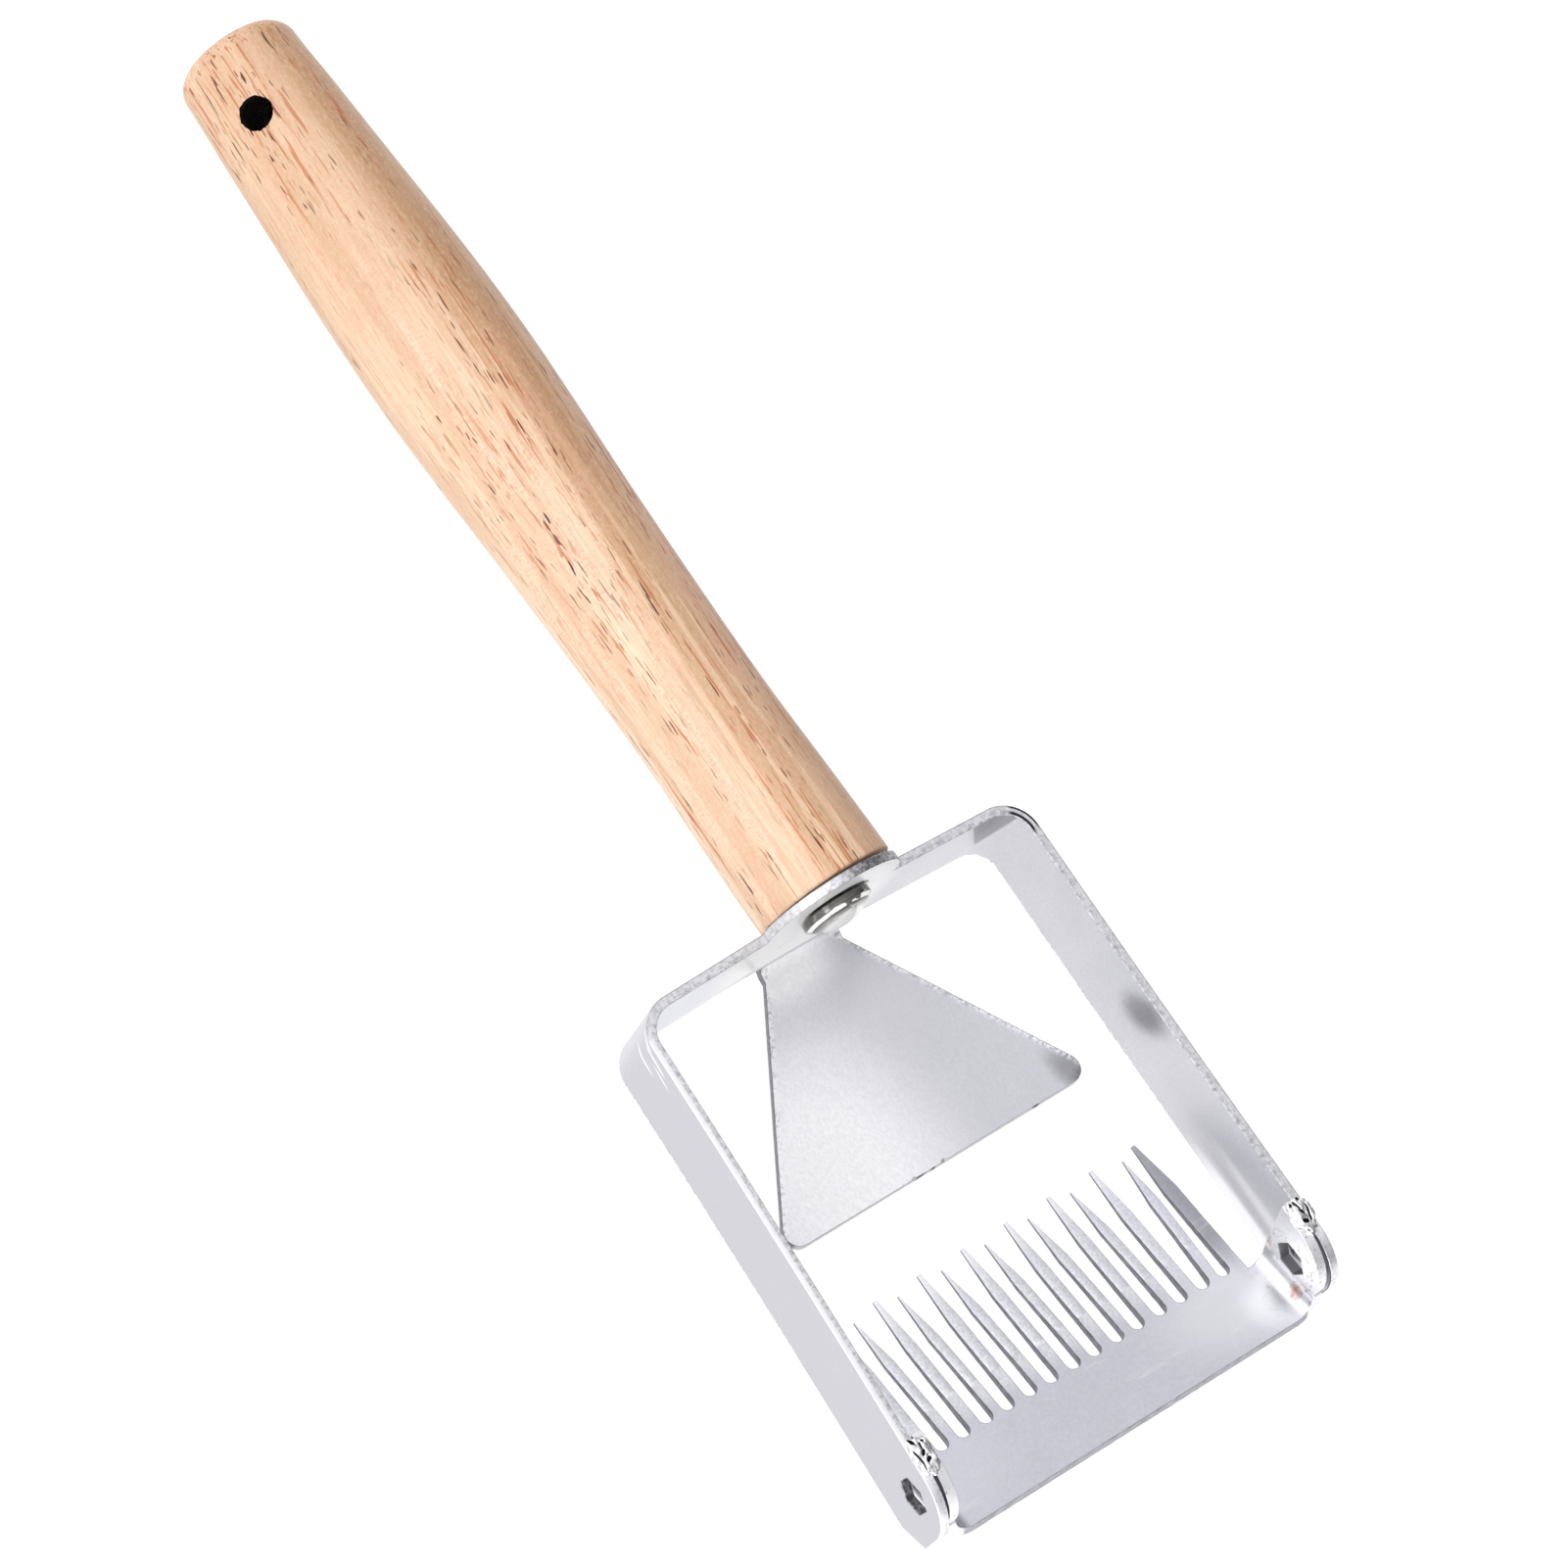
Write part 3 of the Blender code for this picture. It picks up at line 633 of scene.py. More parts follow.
def make_screw(mat):
    """Domed screw head with a small rolled rim, on its shank."""
    under = STRAP_THICKNESS + SCREW_CLEARANCE
    rim = under + SCREW_RIM_HEIGHT
    sag = SCREW_DOME_HEIGHT
    sphere = (SCREW_HEAD_RADIUS**2 + sag**2) / (2 * sag)
    half_angle = math.asin(SCREW_HEAD_RADIUS / sphere)
    dome = [(rim + sag - sphere * (1 - math.cos(a)), sphere * math.sin(a))
            for a in spread(0, half_angle * 0.93, 24)]
    roll, foot_round = SCREW_LIP_ROLL, 0.3 * MM
    lip = arc((rim - 0.1 * MM, SCREW_HEAD_RADIUS - roll), roll, math.radians(48), math.radians(90), 6)
    foot = arc((under + foot_round, SCREW_HEAD_RADIUS - foot_round), foot_round,
               math.pi / 2, math.pi, 5)
    shank = [(under, SCREW_SHANK_RADIUS), (4 * MM - SCREW_DEPTH, SCREW_SHANK_RADIUS),
             (-SCREW_DEPTH, 0)]
    return add_piece("screw_head", turned(dome + lip + foot + shank, 96), [mat],
                     crease=math.radians(40))


# ------------------------------ welds

def weld_grooves(x, y, side):
    """How deep the short cracks in a bead run at a place on it, from 0 to 1."""
    depth = 0.0
    for centre_x, centre_y, half_length, half_width, turn in WELD_CRACKS:
        dx, dy = x - centre_x, y * side - centre_y
        c, s = math.cos(math.radians(turn)), math.sin(math.radians(turn))
        along, off = (c * dx + s * dy) / half_length, (c * dy - s * dx) / half_width
        depth = max(depth, math.exp(-(along**4 + off**2)))
    return depth


def make_weld(name, side, mat):
    """A lumpy bead with hooked cracks. The cracks are stored for the material to paint as shade."""
    bm = bmesh.new()
    bmesh.ops.create_icosphere(bm, subdivisions=6, radius=1)
    crack_shade = bm.verts.layers.float.new("crack_shade")
    for vert in bm.verts:
        x, y, z = vert.co
        lump = 1 + 0.30 * noise.noise(Vector((x * 1.5, y * 1.5, z + 5 * side)))
        lump += 0.10 * noise.noise(Vector((x * 4, y * 4, z * 3 + 9 * side)))
        crack = weld_grooves(x, y, side) if z > 0 else 0
        vert[crack_shade] = crack
        height = max(z, -0.45) * WELD_SIZE[2] * lump - crack * WELD_CRACK_DEPTH
        vert.co = (x * WELD_SIZE[0] * lump, y * WELD_SIZE[1] * lump, height)
    bmesh.ops.translate(bm, verts=bm.verts[:],
                        vec=(WELD_CENTRE[0], side * WELD_CENTRE[1], WELD_CENTRE[2]))
    return add_piece(name, bm, [mat], crease=math.radians(50))


# ------------------------------ material tools

class Field:
    """A number, place or colour that varies over a surface: an output socket and its sums."""

    def __init__(self, socket):
        self.socket = socket
        self.tree = socket.id_data

    def calc(self, operation, other=0.0):
        return field(self.tree, "ShaderNodeMath", {0: self, 1: other}, operation=operation)

    def __add__(self, other):
        return self.calc("ADD", other)

    def __sub__(self, other):
        return self.calc("SUBTRACT", other)

    def __rsub__(self, other):
        return field(self.tree, "ShaderNodeMath", {0: other, 1: self}, operation="SUBTRACT")

    def __mul__(self, other):
        return self.calc("MULTIPLY", other)

    def step(self, low, high, out_low=0.0, out_high=1.0):
        """Smooth step of the number from low to high."""
        return field(self.tree, "ShaderNodeMapRange",
                     {0: self, 1: low, 2: high, 3: out_low, 4: out_high},
                     interpolation_type="SMOOTHSTEP")


def feed(socket, value):
    """Give an input socket a number, a vector, an RGB colour or a field."""
    if isinstance(value, Field):
        socket.id_data.links.new(value.socket, socket)
    else:
        socket.default_value = (*value, 1) if socket.type == "RGBA" else value


def field(tree, kind, inputs=None, output=0, **settings):
    """A new shader node's output, given the node's inputs and settings."""
    node = tree.nodes.new(kind)
    for name, value in settings.items():
        setattr(node, name, value)
    for name, value in (inputs or {}).items():
        feed(node.inputs[name], value)
    return Field(node.outputs[output])


def mixed(factor, first, second):
    """The first colour with the second over it, as far as the factor says."""
    tree = next(part.tree for part in (factor, first, second) if isinstance(part, Field))
    return field(tree, "ShaderNodeMix", {0: factor, 6: first, 7: second}, 2, data_type="RGBA")


def from_axis(y, z):
    """Distance from the handle screw's axis."""
    return (y * y + z * z).calc("SQRT")


class Surface:
    """A material in the making. Its places are in the tool's frame, in millimetres."""

    def __init__(self, name, roughness, metallic):
        self.mat = bpy.data.materials.new(name)
        self.mat.use_nodes = True
        self.tree = self.mat.node_tree
        self.set("Roughness", roughness)
        self.set("Metallic", metallic)

    def set(self, name, value):
        feed(self.tree.nodes["Principled BSDF"].inputs[name], value)

    def finished(self, tone):
        self.set("Base Color", tone)
        return self.mat

    def bump(self, height, strength, distance):
        self.set("Normal", field(self.tree, "ShaderNodeBump",
                                 {"Height": height, "Strength": strength, "Distance": distance}))

    def stored(self, name):
        """A value stored on the mesh's points."""
        return field(self.tree, "ShaderNodeAttribute", output="Fac", attribute_name=name,
                     attribute_type="GEOMETRY")

    def vector(self, operation, *inputs):
        return field(self.tree, "ShaderNodeVectorMath", dict(enumerate(inputs)), operation=operation)

    def in_mm(self):
        coords = field(self.tree, "ShaderNodeTexCoord", output="Object")
        return self.vector("MULTIPLY", coords, (1000, 1000, 1000))

    def place(self, scale=(1, 1, 1), move=(0, 0, 0), turn=0):
        """The place on the surface, moved, turned about Z by degrees, and scaled."""
        moved = self.in_mm()
        if any(move):
            moved = self.vector("SUBTRACT", moved, move)
        return field(self.tree, "ShaderNodeMapping", vector_type="POINT", inputs={
            "Vector": moved, "Rotation": (0, 0, math.radians(turn)), "Scale": scale})

    def xyz(self):
        parts = field(self.tree, "ShaderNodeSeparateXYZ", {0: self.place()}).socket.node.outputs
        return [Field(part) for part in parts]

    def grain(self, scale, detail=3.0, roughness=0.5, distortion=0.0, move=(0, 0, 0), turn=0):
        """Noise. Its scale, in cycles per millimetre, is one number or differs along X, Y and Z."""
        scales = scale if isinstance(scale, tuple) else (scale,) * 3
        return field(self.tree, "ShaderNodeTexNoise",
                     {"Vector": self.place(scales, move, turn), "Scale": 1.0, "Detail": detail,
                      "Roughness": roughness, "Distortion": distortion})

    def spot(self, centre, radii, turn=(0, 0, 0), ragged=0.0):
        """A soft ellipsoid: 1 at its centre, 0 at its radii. turn is in degrees, and ragged is how
        far its outline wanders."""
        place = self.in_mm()
        if ragged:
            wobble = field(self.tree, "ShaderNodeTexNoise",
                           {"Vector": place, "Scale": 0.9, "Detail": 3.0}, "Color")
            shift = self.vector("SUBTRACT", wobble, (0.5, 0.5, 0.5))
            place = self.vector("MULTIPLY_ADD", shift, (ragged, ragged, ragged), place)
        moved = self.vector("SUBTRACT", place, centre)
        turned_back = field(self.tree, "ShaderNodeVectorRotate", rotation_type="EULER_XYZ", inputs={
            "Vector": moved, "Rotation": [-math.radians(a) for a in turn]})
        scaled = self.vector("MULTIPLY", turned_back, [1 / r for r in radii])
        return field(self.tree, "ShaderNodeTexGradient", {"Vector": scaled}, 1,
                     gradient_type="SPHERICAL")

    def patch(self, tone, colour, strength, centre, radii, turn=(0, 0, 0), ragged=0.0, core=0.25):
        """Tone with a soft ellipsoid of colour over it, at full strength inside its core."""
        cover = self.spot(centre, radii, turn, ragged).step(0, 1 - core, 0, strength)
        return mixed(cover, tone, colour)


# ------------------------------ materials

WHITE, PALE = (0.98, 0.98, 1.0), (0.80, 0.80, 0.83)
GREY, SLATE = (0.42, 0.42, 0.45), (0.24, 0.24, 0.26)
BLACK = (0.03, 0.03, 0.035)


def wood_bands_and_painted_light(wood, x, y):
    """Tan and pale bands along the grain, with painted shade along the left (+Y) side, a painted rim light
    beyond it, a painted highlight strip on the right (-Y) side, and darker to the rear.
    """
    slow = wood.grain((0.006, 0.11, 0.11), 2.0)
    bands = wood.grain((0.005, 0.24, 0.24), 1.5, distortion=0.2, move=(0, 3, 5))
    fine_bands = wood.grain((0.009, 0.75, 0.75), 2.0, move=(9, 1, 2))
    off_axis = y - x * math.tan(HANDLE_LEAN) + slow * 5.0
    tone = mixed(slow.step(0.42, 0.58), (0.79, 0.545, 0.355), (0.67, 0.415, 0.24))
    for cover, colour in ((bands.step(0.515, 0.535, 0, 0.70), (0.58, 0.35, 0.19)),
                          (bands.step(0.41, 0.43, 0.55, 0), (0.91, 0.67, 0.47)),
                          (fine_bands.step(0.54, 0.60, 0, 0.30), (0.60, 0.30, 0.15)),
                          # Painted shade on the +Y side, a painted rim light past it, and a painted
                          # highlight strip on the -Y side
                          (off_axis.step(6.6, 6.9, 0, 0.45), (0.48, 0.25, 0.13)),
                          (off_axis.step(11, 15, 0, 0.30), (0.62, 0.40, 0.30)),
                          (off_axis.step(0.5, -4.5, 0, 0.28), (0.92, 0.72, 0.56)),
                          (x.step(-110, -160, 0, 0.45), (0.58, 0.36, 0.20))):
        tone = mixed(cover, tone, colour)
    return tone


def wood_material():
    """Pale lacquered hardwood: tan bands along the grain, short brown pores, pink flecks."""
    wood = Surface("lacquered_wood", 0.42, 0)
    x, y, _ = wood.xyz()
    # The bands carry painted shade, a painted rim light and a painted highlight strip
    tone = wood_bands_and_painted_light(wood, x, y)
    fibre = wood.grain((0.10, 2.2, 2.2), 4.0, 0.65)
    tone = mixed(fibre.step(0.45, 0.68, 0, 0.35), tone, (0.60, 0.31, 0.17))
    pith = wood.grain((0.9, 1.8, 1.8), roughness=0.7, move=(5, 0, 0))
    tone = mixed(pith.step(0.45, 0.70, 0, 0.30), tone, (0.90, 0.69, 0.50))
    pink = wood.grain((0.02, 0.25, 0.25), 2.0, move=(40, 9, 2))
    ripples = wood.grain((1.9, 1.1, 1.1), 2.0)
    tone = mixed(pink.step(0.47, 0.60) * ripples.step(0.50, 0.62, 0, 0.60), tone, (0.76, 0.40, 0.28))
    crowd = wood.grain((0.02, 0.16, 0.16), 1.0, move=(3, 60, 1)).step(0.40, 0.60, 0.18, 1)
    lines = wood.grain((0.04, 1.3, 1.3), 2.0, move=(11, 0, 0))
    tone = mixed(lines.step(0.60, 0.65, 0, 0.85) * crowd, tone, (0.52, 0.17, 0.06))
    for move, along, across, low, high, strength, shade in (
            ((10, 50, 31), 0.20, 2.3, 0.65, 0.70, 0.75, (0.42, 0.14, 0.05)),
            ((70, 20, 8), 0.17, 1.8, 0.68, 0.71, 1.0, (0.17, 0.045, 0.02)),
            ((31, 5, 77), 0.11, 1.3, 0.72, 0.745, 1.0, (0.05, 0.014, 0.008))):
        pores = wood.grain((along, across, across), 1.0, 0.4, move=move)
        pores = pores.step(low, high, 0, strength) * crowd
        tone = mixed(pores, tone, shade)
    end_x = -HANDLE_LENGTH / MM
    tone = mixed(x.step(end_x + 1.0, end_x + 0.2, 0, 0.75), tone, (0.52, 0.33, 0.20))
    wood.set("Roughness", fibre.step(0.3, 0.7, 0.36, 0.5))
    wood.set("Specular IOR Level", 0.35)
    wood.set("Coat Weight", 0.1)
    wood.set("Coat Roughness", 0.25)
    wood.bump(pores * -1.0 + fibre * 0.15, 0.35, 0.00012)
    return wood.finished(tone)


def hole_wall_painted_shade_material():
    """The hanging hole's wall, painted near black as the shade inside the hole."""
    wall = Surface("hole_wall_painted_shade", 0.8, 0)
    wall.set("Specular IOR Level", 0.1)
    return wall.finished(mixed(wall.grain(1.5).step(0.4, 0.7), (0.008, 0.006, 0.006), (0.03, 0.02, 0.018)))


def steel_finish(steel, colour, roughness, variation):
    """The fine mottle of cold-rolled sheet: cloudy tone, small specks and a faint orange peel."""
    cloud = steel.grain(0.09)
    speck = steel.grain(1.3, 5.0, 0.75)
    tone = mixed(cloud.step(0.3, 0.7, 0, 0.35), colour, [0.90 * c for c in colour])
    tone = mixed(speck.step(0.36, 0.64, 0.30, 0), tone, [0.72 * c for c in colour])
    gloss = cloud * variation + speck * variation + (roughness - variation)
    steel.set("Roughness", gloss)
    steel.bump(speck, 0.12, 0.00006)
    return tone, gloss


def inner_face(steel):
    """1 on the bow's inner and upper faces, 0 on its outer and lower ones."""
    return steel.stored("through").step(-0.6, 0.6)


def guide_tone(steel, tone):
    """The guide plate: a painted white reflection at its root, a painted pale reflection toward the front,
    a darker grey patch, two dark marks at the +Y front corner, burred along its slanting edges.
    """
    x, y, z = steel.xyz()
    on_guide = z.step(-23.0, -22.6, 1, 0)
    satin = steel.grain((1.0, 1.7, 1.0), 4.0, 0.8, turn=30)
    face = mixed(0.20, tone, (0.86, 0.86, 0.88))
    # Painted reflection: pale toward the front, then a darker grey patch
    face = steel.patch(face, (1.0, 1.0, 1.0), 0.95, (44, -18, -24), (46, 32, 12))
    face = steel.patch(face, (0.68, 0.68, 0.70), 0.6, (20, 9, -25), (14, 12, 5))
    # Painted reflection: white along the root, below the boss
    face = steel.patch(face, (1.0, 1.0, 1.0), 0.9, (3, -5, -25), (10, 15, 8), core=0.3)
    face = mixed(satin.step(0.36, 0.64, 0.26, 0), face, (0.56, 0.56, 0.57))
    face = steel.patch(face, (0.20, 0.20, 0.21), 0.65, (48, 32.3, -23.5), (9, 4.5, 4), (0, 0, 24), 1.5)
    face = steel.patch(face, (0.12, 0.12, 0.12), 0.7, (50, 34, -23.5), (3.2, 3.6, 3), ragged=2.5)
    tone = mixed(on_guide * inner_face(steel), tone, face)
    neck_x, neck_y = 4.2, GUIDE_NECK_HALF_WIDTH / MM
    edge_y = x * GUIDE_FLARE + (neck_y - neck_x * GUIDE_FLARE)
    off_edge = (edge_y - y.calc("ABSOLUTE")) * (1 / math.sqrt(1 + GUIDE_FLARE**2))
    burrs = steel.grain((1.6, 0.9, 0.3), roughness=0.7, turn=20)
    fringe = off_edge.step(0.1, 1.6, 1, 0) * on_guide
    tone = mixed(fringe * burrs.step(0.46, 0.56, 0, 0.8), tone, WHITE)
    return mixed(fringe * burrs.step(0.46, 0.36, 0, 0.5), tone, SLATE)


def boss_painted_light(steel, tone):
    """Painted light on the boss: its face painted near white, a painted black shadow round the screw head,
    and painted shade in a grey band along the guide's fold.
    """
    x, y, z = steel.xyz()
    # Painted highlight: the boss face made near white
    cover = steel.spot((2, -5, -8), (3.5, 24, 30)).step(0, 0.5) * z.step(-23.5, -20)
    tone = mixed(cover, tone, (1.0, 0.985, 0.97))
    # Painted shade: a grey band along the guide's fold
    fold = z.step(-24.0, -23.2) * z.step(-21.6, -22.4)
    fold = fold * steel.spot((3, 0, -23), (8, 13, 6)).step(0, 0.4, 0, 0.7)
    tone = mixed(fold, tone, (0.50, 0.50, 0.53))
    # Painted shadow: a black ring round the upper side of the screw head
    ring = from_axis(y, z).step(7.9, 7.6) * z.step(1, 4) * x.step(3.5, 2.5)
    return mixed(ring, tone, BLACK)


def corner_tone(steel, tone):
    """A dark three-cornered reflection in the +Y corner, with a hard slanting edge."""
    x, y, z = steel.xyz()
    wedge = (z + y * 2.75).step(87, 89) * (x - z * 0.137).step(5.4, 4.9) * 0.95
    return mixed(wedge, tone, (0.27, 0.27, 0.29))


def arm_tone_and_painted_reflections(steel, tone):
    """Painted reflections inside the +Y arm: a dark smudge-shaped patch, the dark corner wedge, lengthwise
    bands and a pale patch on the cross-member's -Y half; outside the -Y arm a darker grey tone and painted
    white highlight streaks.
    """
    # Painted reflection: a dark smudge-shaped patch inside the +Y arm
    inner = steel.patch(tone, (0.24, 0.24, 0.25), 0.85, (47.5, 43, -7), (6.5, 2.5, 9.5), (0, 35, 0), 1.5)
    # Painted reflections: a broad grey patch and lengthwise white, grey and pale bands
    inner = steel.patch(inner, (0.52, 0.52, 0.55), 0.35, (72, 43.3, -12), (18, 2.5, 16))
    inner = steel.patch(inner, WHITE, 0.9, (90, 43.6, -22), (24, 2.5, 3.6), core=0.4)
    inner = steel.patch(inner, GREY, 0.6, (88, 43.6, -17.4), (20, 2.5, 2.2))
    inner = steel.patch(inner, PALE, 0.8, (88, 43.6, -13.6), (19, 2.5, 2.2))
    # Painted reflection: pale lavender on the cross-member's -Y half
    inner = steel.patch(inner, (0.82, 0.83, 0.90), 0.8, (2.5, -28, -13), (4, 24, 36), core=0.4)
    inner = corner_tone(steel, inner)
    # A darker grey tone over the -Y arm's outer face
    outer = steel.patch(tone, (0.55, 0.55, 0.59), 0.9, (60, -45, -12), (80, 4, 40), core=0.7)
    # Painted highlights: white streaks near the -Y corner
    for centre, radii in (((9.5, -44.5, -4.2), (5, 1.4, 0.5)), ((7.5, -44.0, -8.6), (4.4, 1.8, 0.45)),
                          ((12.5, -44.5, -6.2), (3.6, 1.4, 0.35)), ((6, -43.6, -3.0), (3, 2, 0.4))):
        outer = steel.patch(outer, WHITE, 1.0, centre, radii, (0, 7, 0), core=0.5)
    return mixed(inner_face(steel), outer, inner)


def bow_material():
    """Satin sheet with its tones, and with painted reflections, highlights and shade on its parts."""
    steel = Surface("satin_steel", 0.3, 0.82)
    tone, gloss = steel_finish(steel, (0.66, 0.66, 0.70), 0.30, 0.10)
    tone = boss_painted_light(steel, guide_tone(steel, arm_tone_and_painted_reflections(steel, tone)))
    by_root = steel.spot((4, -6, -25), (17, 19, 9))
    steel.set("Roughness", gloss * by_root.step(0, 0.6, 1, 1.9))
    on_boss = steel.spot((2, -7, -7), (4, 24, 28)).step(0, 0.4) * steel.xyz()[2].step(-23.5, -20)
    dulled = on_boss.calc("MAXIMUM", by_root.step(0, 0.6, 0, 0.75))
    steel.set("Metallic", dulled.step(0, 1, 0.82, 0.3))
    return steel.finished(tone)


def comb_material():
    """Duller sheet with scuffs, bright ground tines, grey specks and rust marks by one ear, plus painted
    shade on the +Y outer tine and a painted highlight along the +Y ear and its bend.
    """
    steel = Surface("comb_steel_painted_light", 0.34, 1)
    tone, _ = steel_finish(steel, (0.64, 0.64, 0.69), 0.34, 0.10)
    x, _, _ = steel.xyz()
    scratches = steel.grain((1.4, 2.4, 1.4), 4.0, 0.75)
    ground = mixed(scratches.step(0.38, 0.62), (0.64, 0.64, 0.68), (0.80, 0.80, 0.83))
    tone = mixed(x.step(93.5, 89), tone, ground)
    tone = mixed(x.step(74, 65, 0, 0.7), tone, WHITE)
    # Painted shade on the +Y outer tine, beside the arm
    tone = steel.patch(tone, (0.32, 0.32, 0.34), 0.85, (80, 35.8, -24), (24, 2.6, 14), core=0.6)
    scuffs = steel.grain((0.35, 0.06, 0.06), roughness=0.7, turn=-38)
    tone = mixed(scuffs.step(0.60, 0.68, 0, 0.3), tone, (0.80, 0.80, 0.84))
    tone = steel.patch(tone, (0.80, 0.80, 0.82), 0.7, (99, 30, -17), (15, 22, 9))
    tone = steel.patch(tone, (0.74, 0.74, 0.79), 0.3, (99, -34, -17), (15, 16, 9))
    tone = steel.patch(tone, WHITE, 0.45, (103, 34.5, -15), (7, 6, 5))
    # Painted highlight: white along the +Y ear and its bend
    tone = steel.patch(tone, (0.97, 0.97, 0.98), 0.9, (99, 42, -10), (18, 3.5, 13), core=0.4)
    rust = (0.40, 0.17, 0.11)
    tone = steel.patch(tone, rust, 0.5, (93.5, 41.4, -13.5), (3.8, 1.7, 1.7), (0, 30, 0), 2.0)
    tone = steel.patch(tone, rust, 0.85, (104.6, 40.0, -14.3), (2.4, 2.2, 1.8), ragged=2.2)
    tone = steel.patch(tone, rust, 0.6, (106.5, 40.6, -12.2), (2.4, 1.0, 0.35), (0, -30, 0))
    dots = steel.spot((101, 40.5, -11), (12, 9, 12)).step(0, 0.5)
    dots = dots * steel.grain(1.1, roughness=0.6, move=(4, 8, 0)).step(0.57, 0.66, 0, 0.6)
    return steel.finished(mixed(dots, tone, (0.40, 0.39, 0.38)))


def sheared_material():
    """The bow's sheared edges: pale, finely torn, with a dark outer line except on one arm, and painted
    shade along the arm ends beside the ears.
    """
    edge = Surface("sheared_edge", 0.4, 0.85)
    x, y, z = edge.xyz()
    through = edge.stored("through")
    tear = edge.grain(1.1, 4.0, 0.75)
    cross = edge.grain((1.1, 0.7, 0.7), turn=35)
    tone = mixed(tear.step(0.38, 0.60), (0.60, 0.60, 0.61), (0.78, 0.78, 0.80))
    torn = through.step(-0.4, 0.5) * cross.step(0.44, 0.62) * tear.step(0.62, 0.42, 0, 0.6)
    tone = mixed(torn, tone, (0.33, 0.33, 0.33))
    near_arm = y.step(-30, -38) * x.step(3, 9)
    tone = mixed(near_arm * through.step(0.3, -0.4), tone, WHITE)
    line = through.step(-0.72, -0.86) * tear.step(0.30, 0.46, 0.9, 0.55)
    tone = mixed(line * (1.0 - near_arm), tone, (0.10, 0.10, 0.11))
    mottle = mixed(tear.step(0.40, 0.58), (0.16, 0.16, 0.17), (0.46, 0.46, 0.47))
    tone = mixed(z.step(-0.9, 0.5) * y.step(-4, 3), tone, mottle)
    crease = through.step(0.05, 0.20) * through.step(0.80, 0.65) + through.step(-0.45, -0.6)
    tone = mixed(edge.spot((5, 42.5, -1.7), (5, 3, 2)).step(0, 0.4) * crease, tone, BLACK)
    on_guide = z.step(-22.9, -23.5)
    tone = mixed(on_guide, tone, mixed(tear.step(0.4, 0.6), SLATE, (0.17, 0.17, 0.18)))
    tone = mixed(x.step(48.5, 49.3), tone, mixed(on_guide, tone, (0.55, 0.55, 0.56)))
    for centre_y, half_width in ((-2.2, 0.9), (-5.2, 1.6), (22, 1.2)):
        tone = edge.patch(tone, BLACK, 0.9, (50, centre_y, -24), (3, half_width, 3), ragged=1.0)
    tone = mixed(x.step(92, 96) * tear.step(0.36, 0.5, 0.25, 0.65), tone, WHITE)
    # Painted shade: black in the gap between each arm's end and the ear
    tone = mixed(x.step(96, 98) * through.step(0.88, 0.94), tone, BLACK)
    for side in (-1, 1):
        in_hex = edge.spot((99, 44.5 * side, -10.5), (6.2, 4, 6.2)).step(0.1, 0.3)
        mottle = mixed(tear.step(0.40, 0.62), (0.16, 0.16, 0.17), (0.46, 0.46, 0.48))
        tone = mixed(in_hex, tone, mottle)
    edge.bump(tear + cross, 0.2, 0.0001)
    return edge.finished(tone)


def cut_wall_material():
    """The comb's cut walls: dark grey between the tines, a painted highlight making them pale round the
    ears, and painted shade in the gap beside each arm.
    """
    wall = Surface("cut_wall", 0.5, 1)
    x, y, z = wall.xyz()
    streak = wall.grain((0.5, 0.5, 3.0), roughness=0.6)
    dark = mixed(streak.step(0.35, 0.65), (0.15, 0.15, 0.17), (0.30, 0.30, 0.34))
    front = mixed(streak.step(0.35, 0.65), (0.34, 0.34, 0.37), (0.5, 0.5, 0.54))
    tone = mixed(x.step(104, 107), dark, front)
    specks = wall.grain(1.2, roughness=0.7)
    # Painted highlight: the ears' cut walls pale, with darker specks
    ear = mixed(specks.step(0.60, 0.68), (0.93, 0.93, 0.94), (0.45, 0.45, 0.45))
    left_hex, right_hex = [wall.spot((99, y_mm, -10.5), (6.2, 6, 6.2)).step(0.1, 0.3) for y_mm in (42, -42)]
    ear = mixed(left_hex + right_hex, ear, (0.30, 0.30, 0.31))
    # Painted shade: black in the gap between the ear and the arm
    painted_gap_shade = wall.stored("through").step(-0.86, -0.93) * z.step(-13.5, -12.5)
    ear = mixed(painted_gap_shade, ear, BLACK)
    wall.bump(streak, 0.1, 0.00006)
    return wall.finished(mixed(y.calc("ABSOLUTE").step(39.3, 40.3), tone, ear))


def polished_material():
    """A polished dome with painted reflections: a pale crown and a dark ring, a painted white glint on the
    rolled rim, and painted shade at its dark lower edge.
    """
    dome = Surface("polished_steel", 0.1, 0.75)
    _, y, z = dome.xyz()
    haze = dome.grain(0.35, roughness=0.6)
    streaks = dome.grain((0.2, 0.45, 0.2), 2.0, move=(3, 1, 0))
    out = from_axis(y, z) + haze * 0.5
    # Painted reflections: a pale crown, then a dark ring
    crown = out.step(5.8, 4.2)
    tone = mixed(crown, (0.42, 0.41, 0.39), (1.0, 0.99, 0.96))
    tone = mixed(out.step(5.7, 6.2), tone, (0.17, 0.165, 0.15))
    # Painted highlight: a white glint on the rolled rim
    gleam = out.step(6.3, 6.5) * streaks.step(0.40, 0.46) * out.step(7.4, 7.1)
    tone = mixed(gleam, tone, (1.0, 0.99, 0.97))
    # Painted shade: black at the head's edge
    tone = mixed(out.step(7.4, 7.6), tone, (0.06, 0.06, 0.06))
    dome.set("Roughness", haze.step(0.3, 0.7, 0.07, 0.14))
    dome.set("Metallic", gleam.calc("MAXIMUM", crown * 0.6).step(0, 1, 0.75, 0.15))
    return dome.finished(tone)


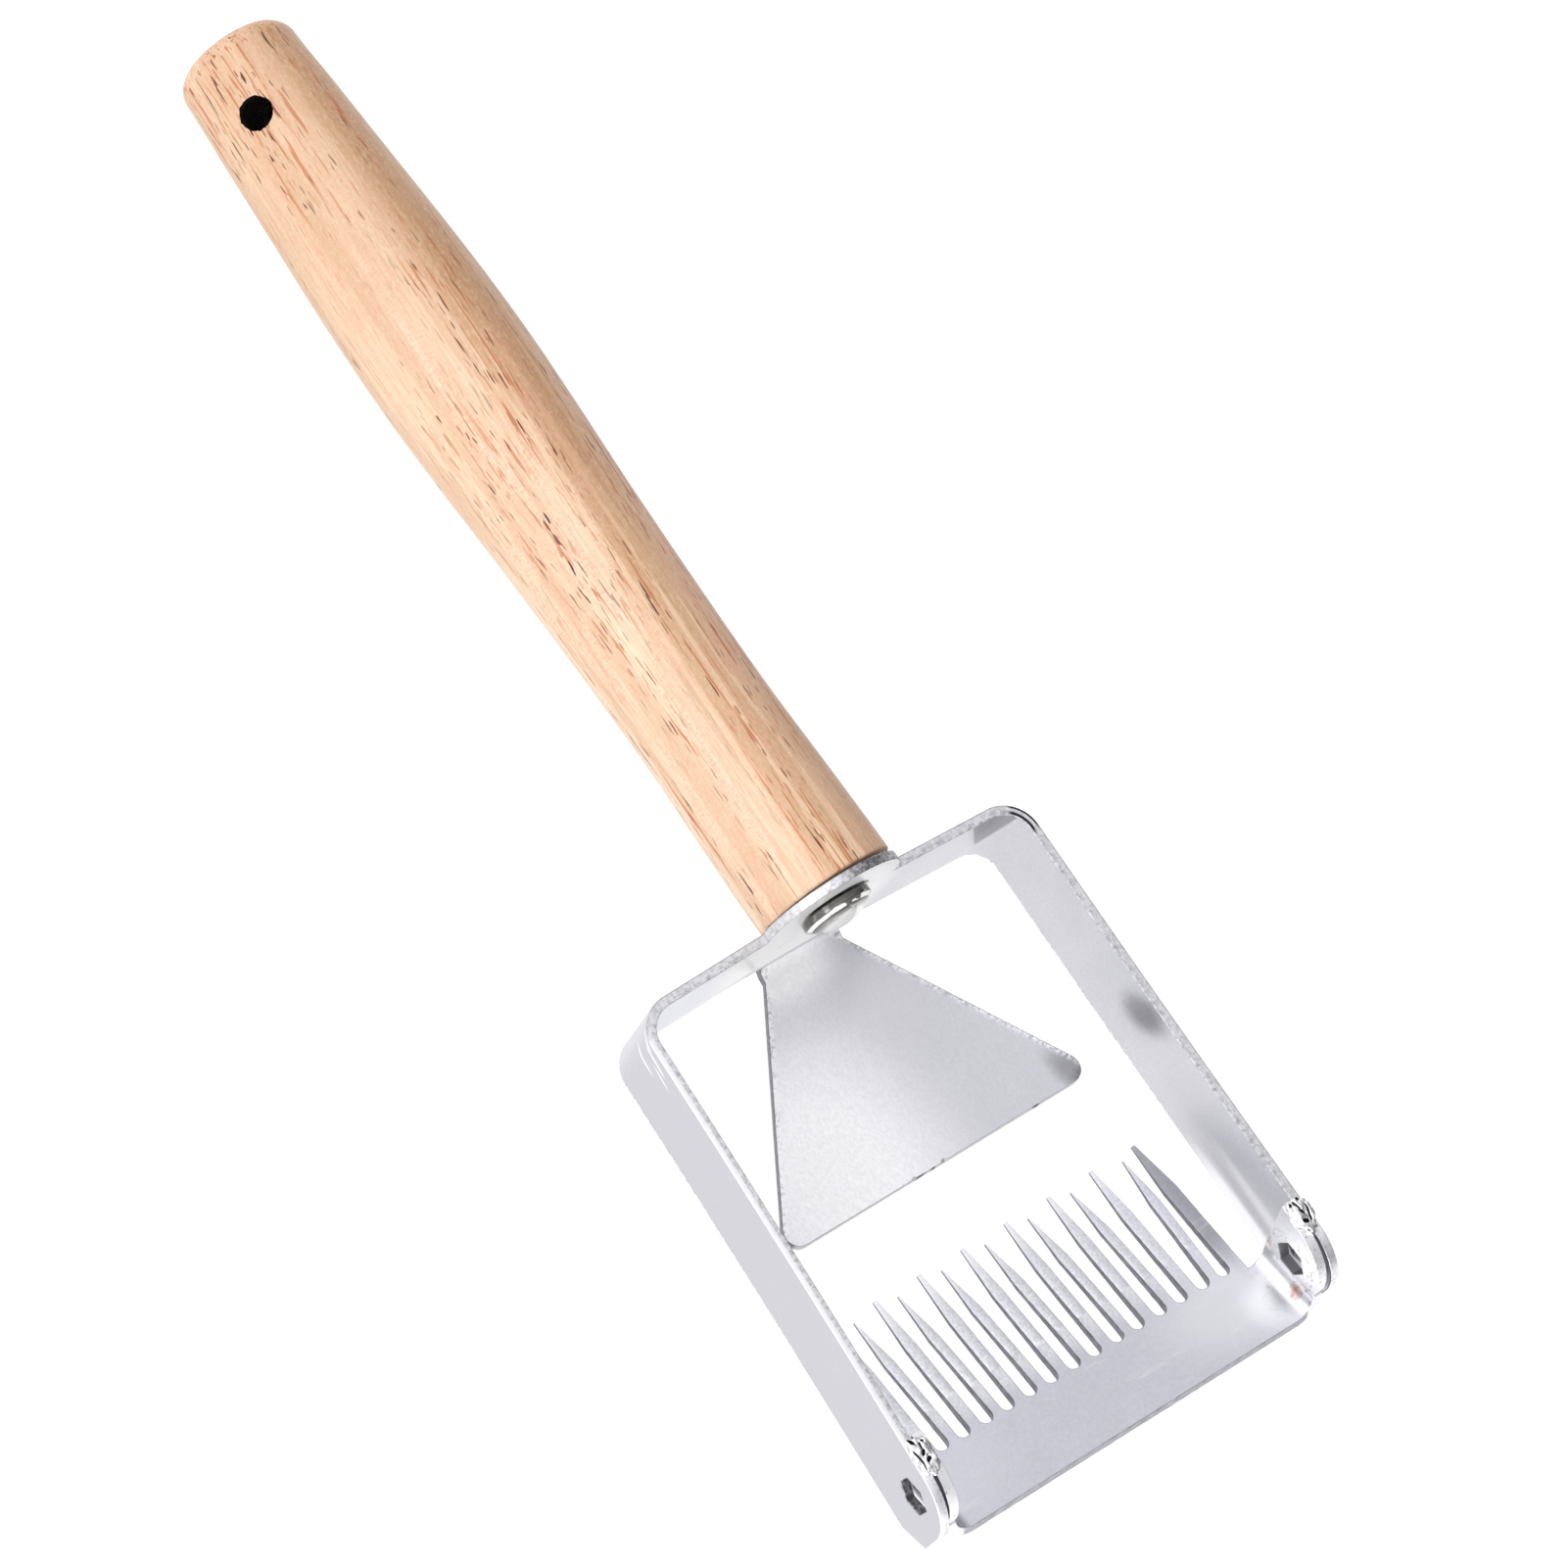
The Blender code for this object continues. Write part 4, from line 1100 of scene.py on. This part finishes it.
def weld_material():
    """Bright bead metal, with painted shade making its cracks black."""
    bead = Surface("weld_bead", 0.25, 1)
    crack_shade = bead.stored("crack_shade")
    lumps = bead.grain(1.2, roughness=0.6)
    tone = mixed(lumps.step(0.42, 0.62), (0.96, 0.96, 0.97), (0.62, 0.60, 0.60))
    bead.set("Roughness", crack_shade.step(0.1, 0.6, 0.28, 0.8))
    bead.bump(lumps, 0.3, 0.0002)
    # Painted shade: black in the cracks
    return bead.finished(mixed(crack_shade.step(0.2, 0.6), tone, (0.015, 0.015, 0.02)))


# ------------------------------ studio

def make_floor():
    bm = bmesh.new()
    bmesh.ops.create_grid(bm, x_segments=8, y_segments=8, size=3.0)
    surface = Surface("pale_floor", 0.8, 0)
    surface.set("Emission Color", (1, 1, 1))
    surface.set("Emission Strength", 0.88)
    surface.set("Specular IOR Level", 0.1)
    floor = add_mesh("floor", bm, [surface.finished((0.2, 0.2, 0.2))])
    floor.location = (0, 0, -0.5 * MM)


def add_area_light(name, place, target, size, power):
    data = bpy.data.lights.new(name, "AREA")
    data.shape = "RECTANGLE"
    data.size, data.size_y = size
    data.energy = power
    light = add_object(name, data)
    light.location = place
    light.rotation_euler = (Vector(target) - Vector(place)).to_track_quat("-Z", "Y").to_euler()


def make_world():
    """A pale studio that is brightest above the tool's right-hand side."""
    world = bpy.data.worlds.new("studio")
    bpy.context.scene.world = world
    world.use_nodes = True
    tree = world.node_tree
    direction = field(tree, "ShaderNodeTexCoord", output="Generated")
    facing = field(tree, "ShaderNodeVectorMath", {0: direction, 1: (-0.45, -0.45, 0.77)}, "Value",
                   operation="DOT_PRODUCT")
    strength = field(tree, "ShaderNodeMapRange", {0: facing, 1: -0.3, 2: 1.0, 3: 0.05, 4: 1.35})
    background = tree.nodes["Background"]
    feed(background.inputs["Color"], (0.97, 0.97, 1.0))
    feed(background.inputs["Strength"], strength)


def make_camera():
    data = bpy.data.cameras.new("camera")
    data.lens = CAMERA_LENS
    data.sensor_width = 36
    data.clip_start, data.clip_end = 0.05, 10
    camera = add_object("camera", data)
    camera.location = CAMERA_PLACE
    camera.rotation_euler = [math.radians(a) for a in CAMERA_TURN]
    bpy.context.scene.camera = camera


def make_studio():
    make_floor()
    make_world()
    add_area_light("key", (0.05, -0.95, 0.85), (0, 0, 0), (1.1, 0.35), 4)
    add_area_light("front", (1.0, -0.2, 0.3), (0, 0, 0.03), (0.4, 0.4), 3.5)
    add_area_light("rear", (-0.95, -0.2, 1.0), (0.1, 0, 0), (0.4, 0.4), 2)
    bpy.context.scene.view_settings.view_transform = "Standard"


# ------------------------------ assembly

def main():
    make_camera()
    make_studio()
    edge = sheared_material()
    weld = weld_material()
    pieces = [(make_handle(wood_material(), hole_wall_painted_shade_material()), "handle", "wood"),
              (make_bow([bow_material(), edge]), "bow_frame", "steel"),
              (make_comb([comb_material(), cut_wall_material()]), "comb_plate", "comb_steel"),
              (make_screw(polished_material()), "handle_screw", "screw_steel"),
              (make_weld("left_bead", 1, weld), "left_weld", "weld_steel"),
              (make_weld("right_bead", -1, weld), "right_weld", "weld_steel")]
    for piece, node, slot in pieces:
        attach(piece, "root")
        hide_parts(node)


main()
